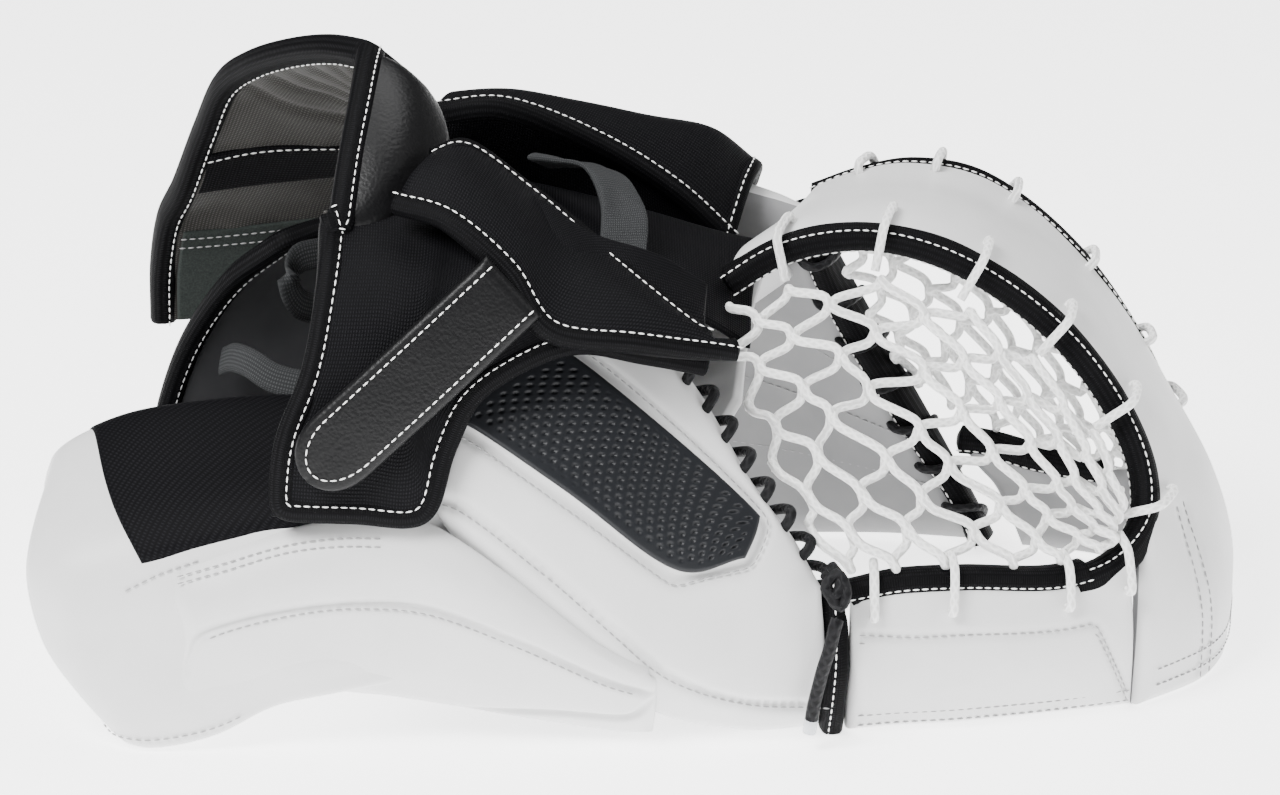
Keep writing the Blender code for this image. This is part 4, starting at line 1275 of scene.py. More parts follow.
def make_dimpled_panel():
    """The moulded black panel: rows of round dimples pressed into a thin sheet."""
    sizes = bpy.context.scene.glove_sizes
    pitch = sizes.dimple_pitch / MM
    rows, cols = 230, 80
    upper = curve_through(PANEL_TOP, rows)
    lower = curve_through(PANEL_BOTTOM, rows)
    t = np.linspace(0, 1, cols)[None, :, None]
    marks = upper[:, None] * (1 - t) + lower[:, None] * t
    flat = marks.reshape(-1, 2)
    top = THUMB_PATCH.at(flat).reshape(rows, cols, 3)
    n = THUMB_PATCH.normals(flat).reshape(rows, cols, 3)
    along = grid_uv(top)
    x, y = along[..., 0], along[..., 1] - along[..., 1][:, cols // 2:cols // 2 + 1]
    row = np.round(y / (pitch * DIMPLE_ROW))
    offset = np.where(row % 2 == 0, 0.0, pitch / 2)
    dx = (x - offset) - np.round((x - offset) / pitch) * pitch
    dy = y - row * pitch * DIMPLE_ROW
    press = np.exp(-((dx ** 2 + dy ** 2) / (pitch * DIMPLE_SPREAD) ** 2) ** 2)
    border_zone = np.clip((edge_distance(top) - DIMPLE_MARGIN) / 0.8, 0, 1)
    round_edge = np.clip(1 - edge_distance(top) / PANEL_ROUND, 0, 1)
    lift = (PANEL_RISE - DIMPLE_DEPTH * press * border_zone
            - PANEL_ROUND * (1 - np.sqrt(1 - round_edge ** 2)))
    obj = close_grid("thumb_dimpled_panel", top + n * lift[..., None], top - n * PANEL_SINK,
                     MATERIALS["dimpled_black"])
    fit_out(obj, "thumb", "dimpled_black", "thumb_panel")


def make_side_panel():
    """The cuff's white side, seamed along its middle, whose tail runs under the thumb fold."""
    patch = Patch(SIDE, OUT_NEAR)
    seam = [(0.02, 0.62), (0.05, 0.50), (0.14, 0.49), (0.27, 0.49), (0.43, 0.49), (0.57, 0.5),
            (0.71, 0.5), (0.86, 0.52), (0.99, 0.55)]
    base = [(0.60, 0.985), (0.70, 0.93), (0.82, 0.84), (0.93, 0.76), (0.99, 0.62)]
    lines = [patch.line(seam, 0, 200), patch.line(base, 0, 160)]
    obj = panel("cuff_side_leather", patch, 7.0, MATERIALS["white_leather"], size=(190, 90),
                edge=6.0, relief=puff(1.0, 10.0, 9, lines, 2.2, 1.5, rough=0.8, size=30.0))
    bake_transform(obj)
    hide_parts("heel_leather", "heel_foam")
    middle = [(0.10, 0.52), (0.27, 0.51), (0.43, 0.51), (0.70, 0.53), (0.92, 0.56)]
    hem = [patch.line(middle, 0.7, 140)]
    hem += [patch.line([(0.03, v), (0.20, v), (0.46, v + 0.01)], 1.0, 110) for v in (0.12, 0.16)]
    stitches("cuff_side_stitches", "hand", hem, "painted_shade_thread")


def helix(line, n, inward, radius, turns, start=0.0):
    """A lace wound round an edge."""
    line = np.asarray(line)
    turn = np.linspace(start, start + turns * 2 * math.pi, len(line))[:, None]
    return line + n * np.cos(turn) * radius[0] + inward * np.sin(turn) * radius[1]


def make_thumb_laces():
    """Binding and edge lacing of the thumb break, with its knot and loose end."""
    tape("thumb_break_tape", "thumb", THUMB_PATCH, [(1, 0.0), (1, 1.0)], THUMB_THICK,
         ["thumb_break_binding"], width=8.8, tuck=8.0)
    points, n, inward = trace(THUMB_PATCH, [(0.42, 0), (0.97, 0)], step=0.8)
    wound = helix(points - n * 5.0 + inward * 0.5, n, inward, (7.0, 3.6), 7)
    laces("thumb_edge_lace", "thumb", [wound], "black_lace", radius=0.0019)
    laces("thumb_break_knot", "thumb", [even_curve(BREAK_KNOT, 1.0)], "black_lace", "break_lace",
          radius=0.0020)
    path = even_curve(LACE_TAIL, 2.0)
    lace = laces("lace_tail_cord", "thumb", [path], "black_lace", "lace_tail", radius=0.0023)
    aglet = sweep("lace_tail_end", [path[-1] + (path[-1] - path[-2]) * k for k in (-0.6, 0.4, 1.9)],
                  (1, 0, 0), (2.4, 2.4), MATERIALS["aglet_plastic"], 12)
    fit_out(aglet, "thumb", "aglet_plastic", "lace_aglet")


# ---- rims and finger side -------------------------------------------------------------------
def make_rim(side, cage, outward):
    """The near or far rim of the pocket, with its binding."""
    patch = Patch(cage, outward)
    body = f"{side}_rim"
    seam_v = 0.34
    seam = trace(patch, [(0.06, 0.30), (0.30, seam_v), (0.86, seam_v), (0.97, 0.86)], smooth=3)[0]
    padded_panel(f"{side}_rim_pad", body, "white_leather", patch, 11.0,
                 [f"{side}_rim_{part}" for part in ("leather", "foam", "lining")], 0.6,
                 size=(100, 70), edge=5.0, relief=puff(0.8, 7.0, 13, [seam], 0.8, 1.6),
                 under_material=MATERIALS["white_lining"])
    lines = [patch.line([(0.06, v), (0.5, v), (0.97, v)], 0.5, 80) for v in (0.86, 0.93)]
    n = patch.normals([(0.5, 0.5)])
    stitches(f"{side}_rim_stitches", body, [seam + n * 0.6, seam + n * 0.6 + (0, 0, -3)] + lines,
             "painted_shade_thread")
    tape(f"{side}_rim_tape", body, patch, [(0.0, 0.0), (0.84, 0.0)], 10.0,
         [f"{side}_rim_binding"], depth=0.0, tuck=3.5)


FINGER_PATCH = Patch(FINGER, OUT_FAR)


def make_finger_guard():
    """The finger guard, quilted in four curved rows, and its laced break."""
    rows = [[(0.05, v), (0.35, v - 0.03), (0.65, v - 0.01), (0.97, v + 0.03)]
            for v in (0.22, 0.42, 0.62, 0.80)]
    seams = [FINGER_PATCH.line(marks) for marks in rows]
    inside = [FINGER_PATCH.line(marks, -15.0) for marks in rows]
    padded_panel("finger_guard", "finger", "white_leather", FINGER_PATCH, 15.0,
                 ["finger_leather", "finger_foam", "finger_stiffener", "finger_lining"], 0.7,
                 size=(110, 90), edge=8.0, relief=puff(1.4, 9.0, 21, seams, 1.6, 2.4),
                 under_relief=puff(1.2, 9.0, 22, inside, 1.6, 2.4),
                 under_material=MATERIALS["white_lining"])
    lines = [FINGER_PATCH.line(marks, -16.2, 120) for marks in rows]
    lines += [FINGER_PATCH.line(marks, 0.6, 120) for marks in rows]
    stitches("finger_guard_stitches", "finger", lines, "painted_shade_thread")
    tape("finger_break_tape", "finger", FINGER_PATCH, [(1, 0), (1, 1)], 15.0,
         ["finger_break_binding"], width=9.0, tuck=3.0)
    points, n, inward = trace(FINGER_PATCH, [(1, 0.04), (1, 0.96)], step=0.8)
    laces("finger_break_lace", "finger",
          [helix(points - n * 7.5 + inward * 2, n, inward, (11.0, 6.0), 7)], "black_lace")


# ---- T web ----------------------------------------------------------------------------------
WEB_PATCH = Patch(T_WEB, OUT_WEB)
WEB_THICK = 8.0


def make_t_web():
    """The T web, with one binding that runs on along the near rim and one on its far edge."""
    tip = [[(0.78, v), (0.88, v + 0.03), (0.985, v + 0.05)] for v in (0.15, 0.19)]
    seams = [WEB_PATCH.line(marks, 0.0) for marks in tip]
    padded_panel("t_web_pad", "hand", "white_leather", WEB_PATCH, WEB_THICK,
                 ["t_web_leather", "t_web_foam", "t_web_lining"], 0.7, size=(170, 70), edge=4.0,
                 relief=puff(1.6, 12.0, 31, seams, 0.9, 1.4, size=30.0),
                 under_material=MATERIALS["white_lining"])
    lines = [WEB_PATCH.line(marks, 1.0, 60) for marks in tip]
    lines += [WEB_PATCH.line([(u, 0.05), (u, 0.5), (u, 0.95)], 1.2, 70) for u in (0.955, 0.975)]
    stitches("t_web_stitches", "hand", lines, "painted_shade_thread")
    rim = trace(Patch(NEAR_RIM, OUT_NEAR), [(0.97, 0.0), (0.80, 0.0)])
    web = trace(WEB_PATCH, [(0.0, 0.0), (0.78, 0.0)])
    edging("t_web_near_tape", "hand", joined(web, rim, smooth=24), WEB_THICK,
           ["t_web_near_binding"], width=11.0, stitch=-0.8, tuck=1.5)
    tape("t_web_far_tape", "hand", WEB_PATCH, [(0.0, 1.0), (0.80, 1.0)], WEB_THICK,
         ["t_web_far_binding"], width=9.6, stitch=0.5, tuck=3.5)


NET_STRANDS = 9
NET_LOOPS = 12            # along each strand
# Shares of a net's width and length.
LOOP_HOOK = 0.015         # how far a loop reaches through the next one
LOOP_SPREAD = 2.2         # how far its sides go back, in hooks
LOOP_HALF = 0.012         # half a loop's width at its sides
NET_SHAKE = (0.010, 0.016)
LOOP_RISE = 2.3           # of a loop's sides above and below the net, in mm


def net_strands(patch, rows, steps, seed):
    """Chain-linked strands: every loop hooks through the loop of the next strand."""
    shake = np.random.RandomState(seed)
    wobble = shake.uniform(-1, 1, (rows + 1, steps + 1, 2))
    lines = []
    for k in range(rows):
        marks, lifts = [], []
        for m in range(steps + 1):
            low = (m + k) % 2
            edge = k + low
            dx, dy = wobble[edge, m] * NET_SHAKE
            if edge in (0, rows):
                dx = 0
            across = edge / rows + dx
            along = m / steps + dy
            toward = 1 if low else -1
            if m > 0:
                marks.append((across - toward * LOOP_HOOK * LOOP_SPREAD, along - LOOP_HALF))
                lifts.append(LOOP_RISE * toward)
            marks.append((across + toward * LOOP_HOOK, along))
            lifts.append(0.0)
            if m < steps:
                marks.append((across - toward * LOOP_HOOK * LOOP_SPREAD, along + LOOP_HALF))
                lifts.append(-LOOP_RISE * toward)
        marks = np.clip(np.array(marks), 0, 1)
        points = patch.at(marks) + patch.normals(marks) * np.array(lifts)[:, None]
        lines.append(points)
    return lines


def make_nets():
    """The near and far nets, stretched between the T web and the rims."""
    near = Patch(NEAR_NET, OUT_NEAR)
    far = Patch(FAR_NET, OUT_FAR)
    sizes = bpy.context.scene.glove_sizes
    for side, patch, seed in (("near", near, 4), ("far", far, 9)):
        strands = [even_curve(line, 1.4)
                   for line in net_strands(patch, NET_STRANDS, NET_LOOPS, seed)]
        obj = grow(f"{side}_web_laces", strands, TREES["lace"],
                   {"Lace radius": sizes.lace_radius}, MATERIALS["white_lace"])
        start = to_frame(patch.at([(0.0, 0.5)])[0])
        end = to_frame(patch.at([(1.0, 0.5)])[0])
        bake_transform(obj)
        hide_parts(f"{side}_net")


NEAR_TIES = (0.106, 0.231, 0.356, 0.481, 0.606, 0.745)
FAR_TIES = (0.119, 0.244, 0.369, 0.506, 0.638, 0.744)
RIM_TIES = (0.12, 0.45, 0.77, 0.97)
NEAR_EYELET = 13.5        # from the web's near edge, past its binding
# Where a tie goes once it has left its eyelet: (above the skin, beyond the edge), in mm.
NEAR_TIE_ROUTE = ((4.4, -4), (3.0, 3.5), (-4, 6.5), (-11, 9))
FAR_TIE_ROUTE = ((4.2, -4), (2.6, 3.5), (-4, 6.0), (-10, 6))
RIM_TIE_ROUTE = ((3.6, -3), (2.0, 4), (-4, 8))


def tie(patch, eyelet, edge, route):
    """A lace that comes up at an eyelet mark and goes over the edge mark beside it."""
    marks = [eyelet, edge]
    base, n = patch.at(marks), patch.normals(marks)
    out = base[1] - base[0]
    out /= np.linalg.norm(out)
    return ([base[0] - n[0] * 2, base[0] + n[0] * 3.4]
            + [base[1] + n[1] * rise + out * reach for rise, reach in route])


def make_ties():
    """Laces that tie the nets over the bindings into eyelets of the T web and the near rim."""
    lines = []
    for u in NEAR_TIES:
        tenth = np.linalg.norm(np.subtract(*WEB_PATCH.at([(u, 0.1), (u, 0.0)])))
        lines.append(tie(WEB_PATCH, (u, 0.1 * NEAR_EYELET / tenth), (u, 0.0), NEAR_TIE_ROUTE))
    lines += [tie(WEB_PATCH, (u, 0.88), (u, 1.0), FAR_TIE_ROUTE) for u in FAR_TIES]
    laces("web_ties", "hand", lines, "white_lace")
    rim = Patch(NEAR_RIM, OUT_NEAR)
    laces("near_rim_ties", "near_rim",
          [tie(rim, (u, 0.19), (u, 0.0), RIM_TIE_ROUTE) for u in RIM_TIES], "white_lace")


# ---- hand -----------------------------------------------------------------------------------
def make_hand():
    """The palm skin at the bottom of the pocket."""
    palm = Patch(PALM, (0, 0, -1))
    rows = [[(0.05, v), (0.5, v), (0.95, v)] for v in (0.25, 0.5, 0.75)]
    seams = [palm.line(marks) for marks in rows]
    padded_panel("palm_skin", "hand", "white_leather", palm, 4.5,
                 ["palm_leather", "palm_lining"], 0.3, size=(60, 60), edge=2.0,
                 relief=puff(0.6, 8.0, 41, seams, 0.8, 2.0))
    stitches("palm_stitches", "hand", [palm.line(marks, 0.4, 100) for marks in rows],
             "painted_shade_thread")


def make_back():
    """The hand liner, the back pad with its trims and wall, and the hand strap."""
    liner = Patch(HAND_BACK, OUT_UP)
    cloth_panel("hand_back_liner", "hand", "black_nylon", liner, 2.6, ["hand_liner"], "stretched",
                ["back_pad_shell"], size=(40, 40), edge=1.3)
    pad = Patch(BACK_PAD, (0, 0.3, 1))
    padded_panel("back_pad_shell", "hand", "black_nylon", pad, 6.0,
                 ["back_pad_nylon", "back_pad_foam", "back_pad_lining"], 0.5, size=(80, 60),
                 edge=3.0, relief=puff(0.9, 8.0, 45))
    tape("back_pad_tape", "hand", pad, [(0, 0), (1, 0)], 6.0, ["back_pad_binding"], width=7.4)
    tape("back_pad_end_tape", "hand", pad, [(1, 0), (1, 1)], 6.0, ["back_pad_end_trim"],
         width=6.8)
    wall = Patch(BACK_PAD_WALL, (0, -1, 0.3))
    cloth_panel("back_pad_inner_lining", "hand", "black_nylon", wall, 2.0, [], "stretched",
                ["back_pad_shell"], size=(50, 30), edge=1.0,
                relief=lambda g: wrinkles(g, 18.0, 2.4, 6))
    strap = Patch(HAND_STRAP, OUT_UP)
    cloth_panel("hand_web_strap", "hand", "grey_webbing", strap, 2.0, ["hand_webbing"],
                "stretched", ["hand_back_liner"], size=(50, 16), edge=1.0,
                relief=lambda g: wrinkles(g, 9.0, 1.6, 2))


# ---- wrist wrap -----------------------------------------------------------------------------
def make_gauntlet():
    """The raised wrist wrap: shell, pleated lining, loop pile and binding."""
    patch = Patch(GAUNTLET, (-0.2, 0.6, 0.8))
    cloth_panel("gauntlet_shell", "hand", "black_nylon", patch, 3.0, ["gauntlet_nylon"], "hung",
                ["cuff_white_leather"], size=(100, 30), edge=1.5,
                relief=lambda g: wrinkles(g, 20.0, 1.2, 7))
    pleats = [patch.line([(a, 0.12), (a + 0.08, 0.55), (a + 0.10, 0.98)])
              for a in np.linspace(0.05, 0.42, 6)]
    obj = panel("gauntlet_lining_cloth", patch, 1.8, MATERIALS["grey_lining"], size=(120, 40),
                edge=0.9, depth=3.2,
                under_relief=lambda g: 1.2 - groove_depth(g, pleats, 1.6, 2.4)
                + wrinkles(g, 14.0, 1.0, 8))
    fit_out(obj, "hand", "grey_lining", "gauntlet_lining")
    marks = [(1.0, 0.0), (0.0, 0.0), (0.0, 0.9)]
    tape("gauntlet_tape", "hand", patch, marks, 7.6, ["gauntlet_binding"], width=9.6,
         depth=-1.3)
    loop = panel("gauntlet_loop_pile", patch, 1.6, MATERIALS["loop_patch"], size=(40, 30),
                 edge=0.8, depth=5.6, span=((0.80, 0.995), (0.14, 0.98)))
    fit_out(loop, "hand", "loop_patch", "gauntlet_loop_patch")
    strip = panel("gauntlet_seam_strip", patch, 1.6, MATERIALS["black_nylon"], size=(16, 30),
                  edge=0.8, depth=5.4, span=((0.60, 0.68), (0.12, 0.99)))
    fit_out(strip, "hand", "black_nylon")
    stitches("gauntlet_seam_stitches", "hand",
             [patch.line([(0.612, 0.13), (0.606, 0.5), (0.60, 0.98)], -7.4, 60)])
    stitches("gauntlet_loop_stitches", "hand",
             [patch.line([(a, 0.15), (a, 0.5), (a, 0.98)], -7.6, 60) for a in (0.815, 0.835)],
             "painted_shade_thread")


PULL_LOOPS = (
    [(-150, 44, 87), (-145, 34, 92), (-138, 22, 94), (-129, 12, 92), (-117, 6, 91)],
    [(-112, 26, 113), (-120, 16, 119), (-123, 14, 128), (-120, 20, 134), (-111, 28, 134)],
)


def make_tongue():
    """The leather-lined tongue under the wrap, with its two pull loops."""
    patch = Patch(TONGUE, OUT_FAR)
    obj = panel("tongue_pad", patch, 5.0, MATERIALS["black_nylon"], size=(50, 40), edge=2.5,
                under_material=MATERIALS["tongue_leather"])
    fit_out(obj, "hand", "black_leather", "tongue_nylon", "tongue_leather_lining")
    tape("tongue_tape", "hand", patch, [(0, 0), (1, 0), (1, 1)], 6.0, ["tongue_binding"],
         width=8.4, thread="painted_shade_thread", depth=-0.5)
    for k, route in enumerate(PULL_LOOPS):
        obj = sweep(f"pull_loop_{k}", even_curve(route, 1.5), (0.2, 0.5, 1), (5.5, 1.1),
                    MATERIALS["grey_webbing"], 12, 0.3)
        fit_out(obj, "hand", "grey_webbing")


FLAP_PATCH = Patch(FLAP, OUT_NEAR)


def make_flap():
    """The wrist flap and the leather roll at its top, inside one binding."""
    cloth_panel("flap_shell", "wrist_flap", "black_nylon", FLAP_PATCH, 3.2, ["flap_nylon"],
                "hung", ["gauntlet_shell"], size=(110, 60), edge=1.6,
                relief=puff(0.6, 6.0, 51, rough=0.8, size=16.0))
    obj = panel("flap_lining_cloth", FLAP_PATCH, 1.6, MATERIALS["grey_lining"], size=(70, 40),
                edge=0.8, depth=3.5)
    fit_out(obj, "wrist_flap", "grey_lining", "flap_lining")
    roll = Patch(FLAP_ROLL, OUT_NEAR)
    padded_panel("flap_leather_pad", "wrist_flap", "black_leather", roll, 6.0,
                 ["flap_leather_roll"], 0.7, size=(60, 50), edge=4.0, depth=1.6,
                 relief=puff(2.6, 9.0, 53, rough=0.3, size=24.0))
    low = trace(FLAP_PATCH, [(0.0, 1.0), (0.0, 0.0), (0.62, 0.0), (1.0, 0.03)], smooth=14)
    high = trace(roll, [(0, 1), (0, 0)])
    edging("flap_tape", "wrist_flap", joined(high, low), 5.2, ["flap_binding"], width=9.4)


def make_band():
    """The padded band over the back of the hand."""
    band = Patch(BAND, (0, -0.6, 0.8))
    padded_panel("hand_band_shell", "wrist_flap", "black_nylon", band, 6.0,
                 ["hand_band_nylon", "hand_band_foam"], 0.5, size=(90, 40), edge=3.0,
                 relief=puff(0.8, 6.0, 57))
    tape("hand_band_low_tape", "wrist_flap", band, [(0, 0), (1, 0)], 6.0,
         ["hand_band_lower_binding"], width=7.6)
    tape("hand_band_top_tape", "wrist_flap", band, [(0, 1), (1, 1)], 6.0,
         ["hand_band_upper_binding"], width=7.6)


STRAP_ROOT = np.array((-40.0, -110.0, 168.0))
STRAP_TIP = np.array((-110.0, -123.0, 104.5))
STRAP_HALF = 13.5         # half its width
STRAP_THICK = 3.4
STRAP_BOW = 2.0           # how far it rises over the flap at its middle
STRAP_TURN = 0.80         # share of its length where the round tip starts
STRAP_INSET = 3.4         # of the stitch line from the strap's edge


def strap_axes():
    """The strap's length, and its directions: along it, out of its face and across it."""
    length = np.linalg.norm(STRAP_TIP - STRAP_ROOT)
    along = (STRAP_TIP - STRAP_ROOT) / length
    out = np.array((0, -1, 0.15))
    out = out - along * (out @ along)
    out /= np.linalg.norm(out)
    return length, along, out, np.cross(out, along)


def strap_point(share, out=0.0, across=0.0):
    """The point at a share of the strap's length, so far out of its face and across it."""
    length, run, rise, side = strap_axes()
    return STRAP_ROOT + run * length * share + rise * out + side * across


def make_strap():
    """The wrist strap: grained leather with a rounded tip and a stitch line inside its edge."""
    length, _, out, across = strap_axes()
    tip = 1 - STRAP_TURN
    runs = np.concatenate([np.linspace(0, 0.78, 40), 1 - 0.22 * (1 - crowded(30)[1:] ** 0.7)])
    rows = []
    for share in runs:
        rest = max(0.0, (share - STRAP_TURN) / tip)
        half = STRAP_HALF * math.sqrt(max(0.0, 1 - rest ** 2.6)) + 0.05
        bow = STRAP_BOW * math.sin(math.pi * share)
        rows.append([strap_point(share, bow, half * k) for k in np.linspace(-1, 1, 30)])
    grid = np.array(rows)
    n = grid_normals(grid, out)
    near = np.clip(1 - edge_distance(grid) / 1.8, 0, 1)
    drop = 1.4 * (1 - np.sqrt(1 - near ** 2))
    swell = 0.7 * (1 - np.exp(-edge_distance(grid) / 4)) + wrinkles(grid, 14.0, 0.15, 3)
    obj = close_grid("wrist_strap_leather", grid + n * (swell - drop)[..., None],
                     grid - n * (STRAP_THICK - drop)[..., None], MATERIALS["black_leather"])
    fit_out(obj, "wrist_strap", "black_leather", "strap_leather")
    inset = STRAP_HALF - STRAP_INSET
    straight = [(share, STRAP_BOW * math.sin(math.pi * share) + 0.75)
                for share in np.linspace(0.02, STRAP_TURN, 30)]
    line = [strap_point(share, rise, -inset) for share, rise in straight]
    line += [strap_point(STRAP_TURN + (tip - STRAP_INSET / length) * math.cos(turn), 1.6,
                         inset * math.sin(turn))
             for turn in np.linspace(-math.pi / 2, math.pi / 2, 24)[1:-1]]
    line += [strap_point(share, rise, inset) for share, rise in straight[::-1]]
    stitches("wrist_strap_stitches", "wrist_strap", [np.array(line)])
    hook = [strap_point(share, -3.6) for share in (0.45, 0.6, 0.78)]
    pad = sweep("wrist_strap_hook_pile", even_curve(hook, 2), across, (9.0, 0.8),
                MATERIALS["loop_patch"], 12, 0.4)
    fit_out(pad, "wrist_strap", "loop_patch", "strap_hook_patch")


# ---- settings, operators and panel ----------------------------------------------------------
class GloveSizes(bpy.types.PropertyGroup):
    """Sizes that a user would change."""
    stitch_pitch: bpy.props.FloatProperty(
        name="Stitch pitch", description="Distance from one stitch to the next",
        default=0.0031, min=0.002, max=0.01, subtype="DISTANCE", unit="LENGTH")
    stitch_length: bpy.props.FloatProperty(
        name="Stitch length", description="Length of thread that shows in each stitch",
        default=0.0024, min=0.001, max=0.008, subtype="DISTANCE", unit="LENGTH")
    thread_radius: bpy.props.FloatProperty(
        name="Thread radius", description="Half the thickness of the sewing thread",
        default=0.00029, min=0.0001, max=0.001, subtype="DISTANCE", unit="LENGTH")
    lace_radius: bpy.props.FloatProperty(
        name="Lace radius", description="Half the thickness of the round pocket lace",
        default=0.0016, min=0.001, max=0.004, subtype="DISTANCE", unit="LENGTH")
    dimple_pitch: bpy.props.FloatProperty(
        name="Dimple pitch", description="Distance between dimples of the moulded panel",
        default=0.0044, min=0.002, max=0.01, subtype="DISTANCE", unit="LENGTH")


class GloveColours(bpy.types.PropertyGroup):
    """Colours that a user would change."""
    leather: bpy.props.FloatVectorProperty(
        name="Leather", description="Colour of the white outer leather",
        default=(0.66, 0.66, 0.66), min=0, max=1, size=3, subtype="COLOR")


class GLOVE_OT_cuff(bpy.types.Operator):
    """Builds the padded wrist cuff and its twill lining"""
    bl_idname = "glove.cuff"
    bl_label = "Cuff"

    def execute(self, context):
        make_cuff()
        make_side_panel()
        return {"FINISHED"}


class GLOVE_OT_thumb(bpy.types.Operator):
    """Builds the thumb guard, its moulded panel, break binding and laces"""
    bl_idname = "glove.thumb"
    bl_label = "Thumb guard"

    def execute(self, context):
        make_thumb_guard()
        make_dimpled_panel()
        make_thumb_laces()
        return {"FINISHED"}


class GLOVE_OT_rims(bpy.types.Operator):
    """Builds the near and far pocket rims with their bindings"""
    bl_idname = "glove.rims"
    bl_label = "Pocket rims"

    def execute(self, context):
        make_rim("near", NEAR_RIM, OUT_NEAR)
        make_rim("far", FAR_RIM, OUT_FAR)
        return {"FINISHED"}


class GLOVE_OT_finger(bpy.types.Operator):
    """Builds the finger guard and its laced break"""
    bl_idname = "glove.finger"
    bl_label = "Finger guard"

    def execute(self, context):
        make_finger_guard()
        return {"FINISHED"}


class GLOVE_OT_web(bpy.types.Operator):
    """Builds the T web with its two bindings"""
    bl_idname = "glove.web"
    bl_label = "T web"

    def execute(self, context):
        make_t_web()
        return {"FINISHED"}


class GLOVE_OT_nets(bpy.types.Operator):
    """Builds both lace nets and the ties that hold them"""
    bl_idname = "glove.nets"
    bl_label = "Lace nets"

    def execute(self, context):
        make_nets()
        make_ties()
        return {"FINISHED"}


class GLOVE_OT_hand(bpy.types.Operator):
    """Builds the palm, the hand liner, the back pad and the webbing"""
    bl_idname = "glove.hand"
    bl_label = "Hand"

    def execute(self, context):
        make_hand()
        make_back()
        return {"FINISHED"}


class GLOVE_OT_gauntlet(bpy.types.Operator):
    """Builds the wrist wrap's shell, lining, loop pile and tongue"""
    bl_idname = "glove.gauntlet"
    bl_label = "Wrist wrap"

    def execute(self, context):
        make_gauntlet()
        make_tongue()
        return {"FINISHED"}


class GLOVE_OT_flap(bpy.types.Operator):
    """Builds the wrist flap, its leather pad and the band over the hand"""
    bl_idname = "glove.flap"
    bl_label = "Wrist flap"

    def execute(self, context):
        make_flap()
        make_band()
        return {"FINISHED"}


class GLOVE_OT_strap(bpy.types.Operator):
    """Builds the leather wrist strap"""
    bl_idname = "glove.strap"
    bl_label = "Wrist strap"

    def execute(self, context):
        make_strap()
        return {"FINISHED"}


class GLOVE_OT_finishes(bpy.types.Operator):
    """Builds the materials and node trees that the pieces share"""
    bl_idname = "glove.finishes"
    bl_label = "Finishes"

    def execute(self, context):
        make_materials(context.scene.glove_colours)
        TREES["stitch"] = make_stitch_tree()
        TREES["lace"] = make_lace_tree()
        return {"FINISHED"}


def floor_finish():
    """Pale paper that glows a little, so that the ground stays clean."""
    material, tree, shader = start_material("Studio floor")
    place = tree.nodes.new("ShaderNodeTexCoord")
    place.location = (-700, 0)
    paper = tree.nodes.new("ShaderNodeTexNoise")
    paper.label = "Paper tooth"
    paper.inputs["Scale"].default_value = 60.0
    paper.location = (-500, 0)
    tint = tree.nodes.new("ShaderNodeMix")
    tint.label = "Pale paper"
    tint.data_type = "RGBA"
    tint.inputs["A"].default_value = (0.93, 0.93, 0.93, 1)
    tint.inputs["B"].default_value = (0.96, 0.96, 0.96, 1)
    tint.location = (-200, 0)
    shader.inputs["Roughness"].default_value = 0.9
    shader.inputs["Emission Color"].default_value = (1, 1, 1, 1)
    shader.inputs["Emission Strength"].default_value = FLOOR_GLOW
    tree.links.new(place.outputs["Object"], paper.inputs["Vector"])
    tree.links.new(paper.outputs["Fac"], tint.inputs["Factor"])
    tree.links.new(tint.outputs["Result"], shader.inputs["Base Color"])
    return material


FLOOR_REACH = 4000.0      # from the middle of the floor to its sides
FLOOR_GLOW = 2.6
AIR_GLOW = 0.10
CAMERA_LENS = 150.7
CAMERA_TILT = math.radians(20.0)
CAMERA_AIM = np.array((3.42, 9.0, 88.1))
CAMERA_REACH = 1900.0     # from the aim to the lens
# Name, place and target in metres, sides of the light in metres, watts.
LIGHTS = (
    ("Key", (-0.9, -1.0, 1.6), (0, 0, 0.08), (0.9, 0.9), 84),
    ("Top", (0.2, 0.4, 1.7), (0, 0, 0.05), (1.6, 1.2), 30),
    ("Side", (1.6, -0.5, 0.7), (0.05, 0, 0.08), (0.8, 1.0), 12),
)


def area_light(name, place, target, size, power):
    """A soft rectangular light, in metres and watts."""
    data = bpy.data.lights.new(name, "AREA")
    data.shape = "RECTANGLE"
    data.size, data.size_y = size
    data.energy = power
    light = bpy.data.objects.new(name, data)
    light.location = place
    light.rotation_euler = (Vector(target) - Vector(place)).to_track_quat("-Z", "Y").to_euler()
    bpy.context.scene.collection.objects.link(light)


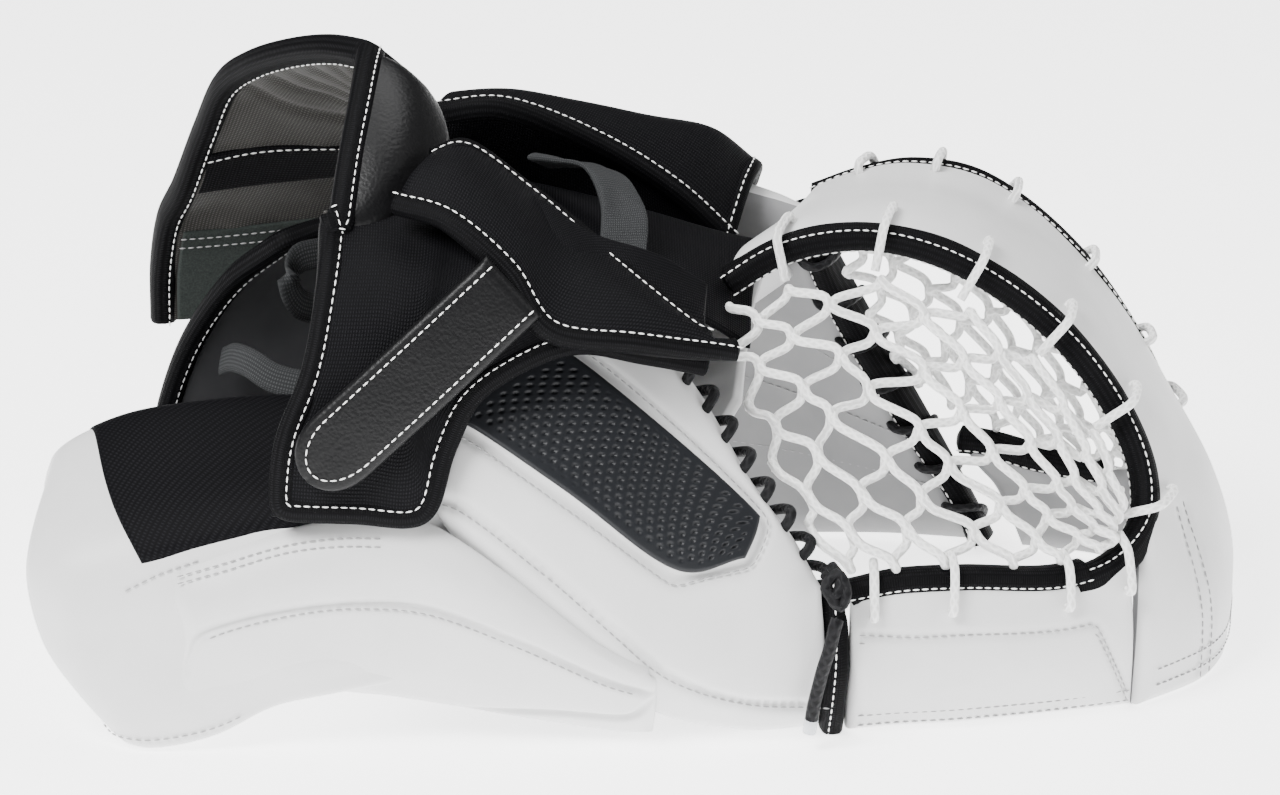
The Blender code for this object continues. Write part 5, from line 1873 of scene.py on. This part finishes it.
class GLOVE_OT_stage(bpy.types.Operator):
    """Sets the pale floor, the soft lights and the camera"""
    bl_idname = "glove.stage"
    bl_label = "Stage"

    def execute(self, context):
        corners = ((0, 0), (1, 0), (1, 1), (0, 1))
        points = [((2 * x - 1) * FLOOR_REACH, (2 * y - 1) * FLOOR_REACH, -ORIGIN_SHIFT[2])
                  for x, y in corners]
        floor = mesh_object("studio_floor", points, [(0, 1, 2, 3)], corners, floor_finish())
        world = bpy.data.worlds.new("Studio air")
        world.use_nodes = True
        world.node_tree.nodes["Background"].inputs["Color"].default_value = (1, 1, 1, 1)
        world.node_tree.nodes["Background"].inputs["Strength"].default_value = AIR_GLOW
        context.scene.world = world
        for light in LIGHTS:
            area_light(*light)
        data = bpy.data.cameras.new("Camera")
        data.lens = CAMERA_LENS
        data.sensor_width = 36.0
        data.clip_end = 20.0
        camera = bpy.data.objects.new("Camera", data)
        back = np.array((0, -math.cos(CAMERA_TILT), math.sin(CAMERA_TILT)))
        camera.location = tuple((CAMERA_AIM + CAMERA_REACH * back) * MM)
        camera.rotation_euler = (math.pi / 2 - CAMERA_TILT, 0, 0)
        context.scene.collection.objects.link(camera)
        context.scene.camera = camera
        return {"FINISHED"}


class GLOVE_PT_panel(bpy.types.Panel):
    """Lists the pieces of the glove"""
    bl_idname = "GLOVE_PT_panel"
    bl_label = "Catch Glove"
    bl_space_type = "VIEW_3D"
    bl_region_type = "UI"
    bl_category = "Catch Glove"

    def draw(self, context):
        layout = self.layout
        for group in (context.scene.glove_sizes, context.scene.glove_colours):
            for key in group.__annotations__:
                layout.prop(group, key)
        for step in STEPS:
            layout.operator(step.bl_idname)


STEPS = (GLOVE_OT_stage, GLOVE_OT_finishes, GLOVE_OT_cuff, GLOVE_OT_thumb, GLOVE_OT_rims,
         GLOVE_OT_finger, GLOVE_OT_web, GLOVE_OT_nets, GLOVE_OT_hand, GLOVE_OT_gauntlet,
         GLOVE_OT_flap, GLOVE_OT_strap)
CLASSES = (GloveSizes, GloveColours) + STEPS + (GLOVE_PT_panel,)


def register():
    """Registers the classes and hangs the settings on the scene."""
    for item in CLASSES:
        bpy.utils.register_class(item)
    bpy.types.Scene.glove_sizes = bpy.props.PointerProperty(type=GloveSizes)
    bpy.types.Scene.glove_colours = bpy.props.PointerProperty(type=GloveColours)


def unregister():
    """Undoes register."""
    del bpy.types.Scene.glove_colours
    del bpy.types.Scene.glove_sizes
    for item in reversed(CLASSES):
        bpy.utils.unregister_class(item)


def main():
    """Builds the whole glove, one operator at a time."""
    register()
    for step in STEPS:
        group, name = step.bl_idname.split(".")
        getattr(getattr(bpy.ops, group), name)()


if __name__ == "__main__":
    main()
